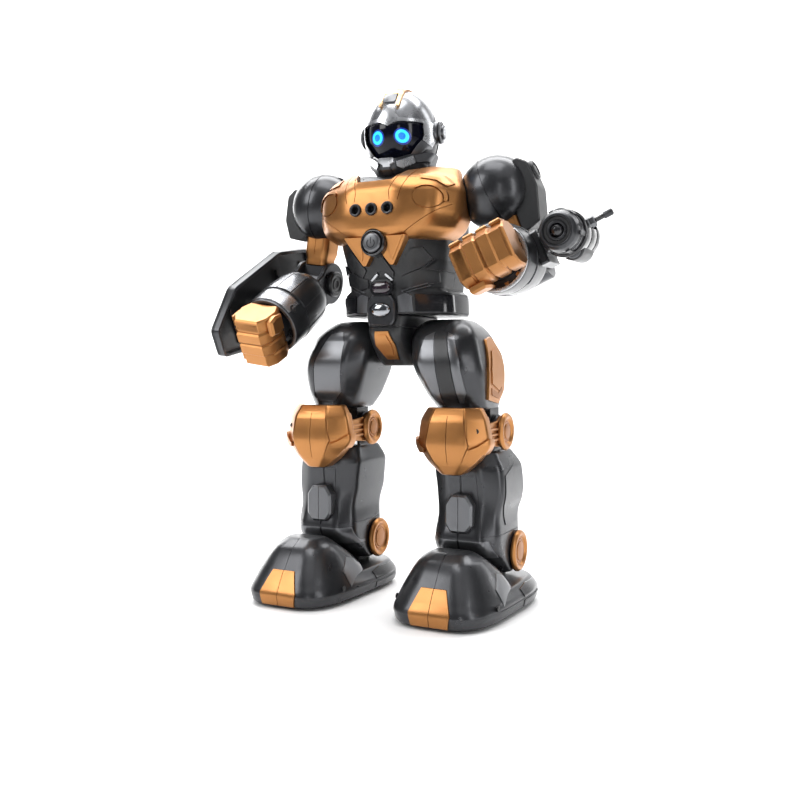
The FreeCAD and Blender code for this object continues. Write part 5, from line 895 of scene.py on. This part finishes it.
    put(layer(f"shin_side_{n}", shin, -0.3, 0.6, prism("a", [(-13, 90), (6, 96), (20, 92), (22, 70), (12, 56), (-8, 56), (-14, 70)], "YZ", s * 62, s * 95)), sh_b, "gunmetal_plastic")
    put(layer(f"shin_skirt_{n}", shin, -0.3, 0.3, prism("a", g([(33, 47.5), (52.9, 47.5), (52.9, 35), (31, 35)]), "XZ", -60, -6)), sh_b, "gunmetal_plastic", "steel_grey")
    put(layer(f"shin_skirt_out_{n}", shin, -0.3, 0.3, prism("a", g([(54.3, 47.5), (74, 47.5), (77, 35), (54.3, 35)]), "XZ", -60, -6)), sh_b, "gunmetal_plastic", "steel_grey")
    put(layer(f"shin_calf_{n}", shin, -0.3, 0.5, prism("a", g([(42, 98), (65, 98), (68, 80), (64, 60), (46, 60), (42, 80)]), "XZ", 15, 60)), sh_b, "gunmetal_plastic")
    # kneecap
    def cap_ring(a, g=0.0, back=-29.0):
        w, yf, c = a
        w, yf = w + g, yf - g
        return [(52 - w, back), (52 - w, yf + c), (52 - w * 0.55, yf), (52 + w * 0.55, yf), (52 + w, yf + c), (52 + w, back)]

    def cap(g, **k):
        return tower("cap", CAP, cap_ring, g=g, r=1.6, step=1.8, edge=1.0, sx=s, **k)

    t = cap(0.0)
    cut(t, tower("in", CAP_IN, lambda a, g=0.0: cap_ring(a, g, -20.0), r=1.2, step=4, edge=0.0, sx=s), block("relief", kx - 30, kx + 30, -31.0, -20, 130.5, 142), block("line", kx - 0.2, kx + 0.2, -60, -45.6, 98, 132))
    for q in (1, -1):
        ln = cut(prism("line", [(kx + q * 9.6, 137), (kx + q * 10.2, 137), (kx + q * 15.6, 112), (kx + q * 10.2, 101), (kx + q * 9.8, 101), (kx + q * 15.0, 112)], "XZ", -60, -30), cap(-0.5))
        cut(t, ln)
    put(t, sh_b, "gold_plastic", nodes=(f"kneecap_{n}",))
    for k in (1, -1):
        arm = [(-36.5, 111.5), (-30, 111.0), (-8, 109.0)] + [(11.0 * math.cos(math.radians(a)), 119 + 11.0 * math.sin(math.radians(a))) for a in range(-110, 121, 12)] + [(-8, 126.8), (-30, 125.2), (-36.5, 124.5)]
        e = prism(f"knee_arm_{n}_{k + 1}", arm, "YZ", kx + k * 19.4, kx + k * 22.0, edge=0.5)
        put(cut(e, rod("bore", 3.1, -40, 40, (kx, 0, 119), "X", seg=32)), sh_b, "gold_plastic")
        for i, z in enumerate((114.5, 118.0, 121.5)):
            put(prism(f"knee_rib_{n}_{k + 1}_{i}", [(-29.5, z - 0.8), (-13.6, z - 0.8), (-13.2, z + 0.8), (-29.5, z + 0.8)], "YZ", kx + k * 21.4, kx + k * 23.6, edge=0.35), sh_b, "gold_plastic")
        chev = [(52 + k * x, z) for x, z in [(28.5, 118), (20.5, 111.5), (16.0, 109.5), (17.5, 106.5), (24.5, 106), (28.5, 109.5)]]
        put(layer(f"knee_chevron_{n}_{k + 1}", cap, -0.3, 1.6, prism("a", [(s * x, z) for x, z in chev], "XZ", -60, -30)), sh_b, "gold_plastic")
    put(turn(f"knee_screw_{n}", [(0, 0), (1.6, 0), (1.6, 0.5), (0, 0.5)], (kx + s * 19.0, -42.2, 121.5), "-Y", seg=24), sh_b, "black_plastic", "mark")
    # pivot discs
    rings, eyes = [], []
    for r, x_in, x_disc, cx, y, z in ((13.0, 7.0, 22.2, kx, 0.0, 119.0), (14.5, 5.0, 24.5, ax, 12.0, 35.0)):
        for k in (-1, 1):
            hh = x_disc - x_in
            rings.append(turn("disc", [(0, 0), (3.0, 0), (3.0, hh), (r - 0.8, hh), (r, hh + 0.6), (r, hh + 2.0), (r - 1.3, hh + 3.5), (r - 2.6, hh + 3.7), (r - 4.0, hh + 3.3), (r - 5.0, hh + 2.2), (r - 5.4, hh + 2.0), (0, hh + 2.0)], (cx + k * x_in, y, z), "X" if k > 0 else "-X", r=0.3))
            eyes.append((turn("eye", [(0, hh + 1.8), (r - 5.6, hh + 1.8), (r - 5.9, hh + 2.5), (r - 6.6, hh + 2.5), (r - 7.4, hh + 2.2), (r - 8.0, hh + 2.9), (0, hh + 3.1)], (cx + k * x_in, y, z), "X" if k > 0 else "-X", r=0.2), r))
    put(join(f"pivot_rings_{n}", *rings), sh_b, "gold_plastic", nodes=(f"pivot_caps_{n}",))
    put(join(f"ankle_hubs_{n}", *[o for o, r in eyes if r > 14]), sh_b, "gold_plastic", "bronze")
    put(join(f"knee_hubs_{n}", *[o for o, r in eyes if r < 14]), sh_b, "gold_plastic", "bronze")
    # foot
    FT = [(2.0, flat([(56 + x, y) for x, y in LOW])), (9.0, flat([(56 + x, y) for x, y in MID])), (18.0, flat([(56 + x, y) for x, y in TOP]))]
    DM = [(z, flat([(56 + x, y) for x, y in pts])) for z, pts in DOME]

    def base(g, **k):
        return tower("base", FT, free_ring, g=g, r=9.0, step=1.4, edge=1.6, sx=s, **k)

    def dome(g, **k):
        return tower("dome", DM, free_ring, g=g, r=9.0, step=1.6, edge=1.2, sx=s, **k)

    fb = base(0.0)
    hollow = [(z, flat(inset([(a[i], a[i + 1]) for i in range(0, len(a), 2)], 2.4))) for z, a in FT]
    hollow[0], hollow[-1] = (0.5, hollow[0][1]), (16.0, hollow[-1][1])
    cut(fb, tower("in", hollow, free_ring, r=8.0, step=3, edge=0.0, sx=s))
    cut(fb, block("split", fx - 0.15, fx + 0.15, -100, -60, -5, 30), block("split", fx - 0.15, fx + 0.15, 20, 60, -5, 30))
    ln = cut(block("line", fx - 60, fx + 60, -100, 60, 8.8, 9.2), base(-0.5))
    cut(fb, ln)
    put(fb, ft_b, "gunmetal_plastic", nodes=(f"foot_shell_{n}",))
    dm = dome(0.0)
    cut(dm, tower("in", [(0.5, hollow[0][1]), (9.0, hollow[1][1]), (14.5, hollow[-1][1])], free_ring, r=8.0, step=3, edge=0.0, sx=s))
    cut(dm, block("split", fx - 0.15, fx + 0.15, -100, -50, 10, 60))
    put(dm, ft_b, "gunmetal_plastic")
    TOE = [(-12.5, 2.2), (12.5, 2.2), (14, 11), (8.5, 25), (-8.5, 25), (-14, 11)]
    toe = [(fx + x, z) for x, z in TOE]
    pieces = [layer("toe_all", dome, -0.5, 1.1, prism("a", toe, "XZ", -100, -60))]
    for q in pieces:
        cut(q, block("split", fx - 0.2, fx + 0.2, -100, -60, 0, 30))
    put(join(f"toe_plate_{n}", *pieces), ft_b, "gold_plastic", nodes=(f"toe_cap_{n}",))
    ank = rod(f"ankle_block_{n}", 10.5, -13.5, 13.5, (ax, 12, 35), "X", r=0.8)
    put(cut(ank, rod("bore", 3.15, -30, 30, (ax, 12, 35), "X", seg=32)), ft_b, "black_plastic")
    post = block(f"ankle_post_{n}", ax - 13.4, ax + 13.4, 3.5, 20.5, 16, 35, edge=0.6)
    put(cut(post, rod("bore", 3.15, -30, 30, (ax, 12, 35), "X", seg=32)), ft_b, "black_plastic")
    for k in (1, -1):
        side = [(-16, 15.5), (-4, 17), (16, 16.0), (22, 11.5), (14, 10.0), (-14, 10.0)]
        put(layer(f"foot_side_{n}_{k + 1}", base, -0.3, 0.6, prism("a", side, "YZ", fx + k * 20, fx + k * 60)), ft_b, "black_plastic", "black_gloss")
        low = [(-14, 7.8), (20, 7.8), (22, 3.4), (-14, 3.4)]
        put(layer(f"foot_skirt_{n}_{k + 1}", base, -0.3, 0.5, prism("a", low, "YZ", fx + k * 20, fx + k * 60)), ft_b, "gunmetal_plastic")
        wing = [(-46, 9.2), (-22, 9.2), (-22, 17), (-30, 27), (-40, 30), (-50, 22)]
        put(layer(f"foot_wing_{n}_{k + 1}", dome, -0.3, 0.6, prism("a", wing, "YZ", fx + k * 10, fx + k * 60)), ft_b, "gunmetal_plastic", "steel_grey")
        put(turn(f"foot_screw_{n}_{k + 1}", [(0, 0), (2.0, 0), (2.0, 0.5), (0, 0.5)], (fx + k * 35.4, -56, 11.8), "X" if k > 0 else "-X", seg=24), ft_b, "black_plastic", "mark")
    put(layer(f"foot_heel_{n}", base, -0.3, 0.8, prism("a", [(fx - 16, 4), (fx + 16, 4), (fx + 14, 15), (fx - 14, 15)], "XZ", 20, 60)), ft_b, "black_plastic")

# ------------------------------------------------------------------ CAD pieces that still show
KEEP = {
    "battery_pack": "cell_jacket", "main_board": "board_green", "speaker": "paper_cone", "torso_gearboxes": "dark_internal", "torso_screws": "steel", "neck_post": "black_plastic",
    "shoulder_hub_left": "dark_internal", "shoulder_hub_right": "dark_internal", "sole_plate_left": "black_plastic", "sole_plate_right": "black_plastic",
    "foot_gearbox_left": "dark_internal", "foot_gearbox_right": "dark_internal", "drive_wheels_left": "tyre_rubber", "drive_wheels_right": "tyre_rubber",
    "front_rollers_left": "tyre_rubber", "front_rollers_right": "tyre_rubber",
}
for name, slot in KEEP.items():
    me = NODES[name].data
    me.materials.clear()
    me.materials.append(MAT[slot])
shown = [n for n, o in NODES.items() if not o.hide_render and n not in KEEP]
print("CAD nodes shown without a finish:", shown)
print("boolean trouble:", TROUBLE)

# ------------------------------------------------------------------ studio
paper = finish("studio_paper", (0.88, 0.88, 0.88), 0.0, 0.75, 0.02, 0.0, 0.01, fine=60.0)
prof = [(-3.2, 0.0), (1.4, 0.0)] + [(1.4 + 1.1 * math.sin(math.radians(a)), 1.1 - 1.1 * math.cos(math.radians(a))) for a in range(6, 91, 6)] + [(2.5, 4.0)]
me = bpy.data.meshes.new("studio_floor")
me.from_pydata([(x, y, z) for y, z in prof for x in (-4.5, 4.5)], [], [(2 * i, 2 * i + 1, 2 * i + 3, 2 * i + 2) for i in range(len(prof) - 1)])
floor = bpy.data.objects.new("studio_floor", me)
scene.collection.objects.link(floor)
me.materials.append(paper)
me.shade_smooth()
floor.matrix_world = T((OX * 0.001, OY * 0.001, -0.0002)) @ R(26.65, "Z")


def lamp(name, size, power, at, aim=(0, 0, 0.18), colour=(1, 1, 1)):
    li = bpy.data.lights.new(name, "AREA")
    li.shape, li.size, li.size_y, li.energy, li.color = "RECTANGLE", size[0], size[1], power, colour
    o = bpy.data.objects.new(name, li)
    scene.collection.objects.link(o)
    o.location = at
    o.rotation_euler = (Vector(aim) - Vector(at)).to_track_quat("-Z", "Y").to_euler()
    return o


lamp("key_soft", (0.62, 0.85), 10.5, (-0.75, -0.95, 0.95))
lamp("fill_strip", (0.22, 1.1), 4.0, (1.20, -0.35, 0.45))
lamp("front_strip", (0.22, 0.8), 1.8, (0.75, -1.25, 0.35))
lamp("top_soft", (0.7, 0.5), 6.0, (0.0, -0.15, 1.25))
lamp("rim_soft", (0.3, 1.1), 4.5, (0.75, 0.95, 0.75))
lamp("rim_left", (0.25, 1.1), 3.5, (-1.1, 0.65, 0.6))
lamp("back_wash", (3.2, 1.6), 150.0, (-0.6, 1.0, 2.4), aim=(-1.0, 2.1, 0.5))
lamp("floor_wash", (2.4, 2.4), 14.0, (0.9, -0.6, 2.3), aim=(0.4, -0.2, 0.0))
world = bpy.data.worlds.new("studio")
scene.world = world
world.use_nodes = True
bg = [x for x in world.node_tree.nodes if x.type == "BACKGROUND"][0]
bg.inputs[0].default_value, bg.inputs[1].default_value = (0.93, 0.95, 1.0, 1.0), 0.13
scene.view_settings.view_transform = "Standard"

cam = bpy.data.cameras.new("camera")
cam.lens, cam.sensor_width, cam.clip_start = 39.64, 36.0, 0.02
co = bpy.data.objects.new("camera", cam)
scene.collection.objects.link(co)
co.location = ((281.4 + OX) * 0.001, (-572.0 + OY) * 0.001, 0.1636)
az, el = math.radians(26.647), math.radians(2.185)
back = Vector((math.sin(az) * math.cos(el), -math.cos(az) * math.cos(el), math.sin(el)))
co.rotation_euler = (-back).to_track_quat("-Z", "Y").to_euler()
scene.camera = co
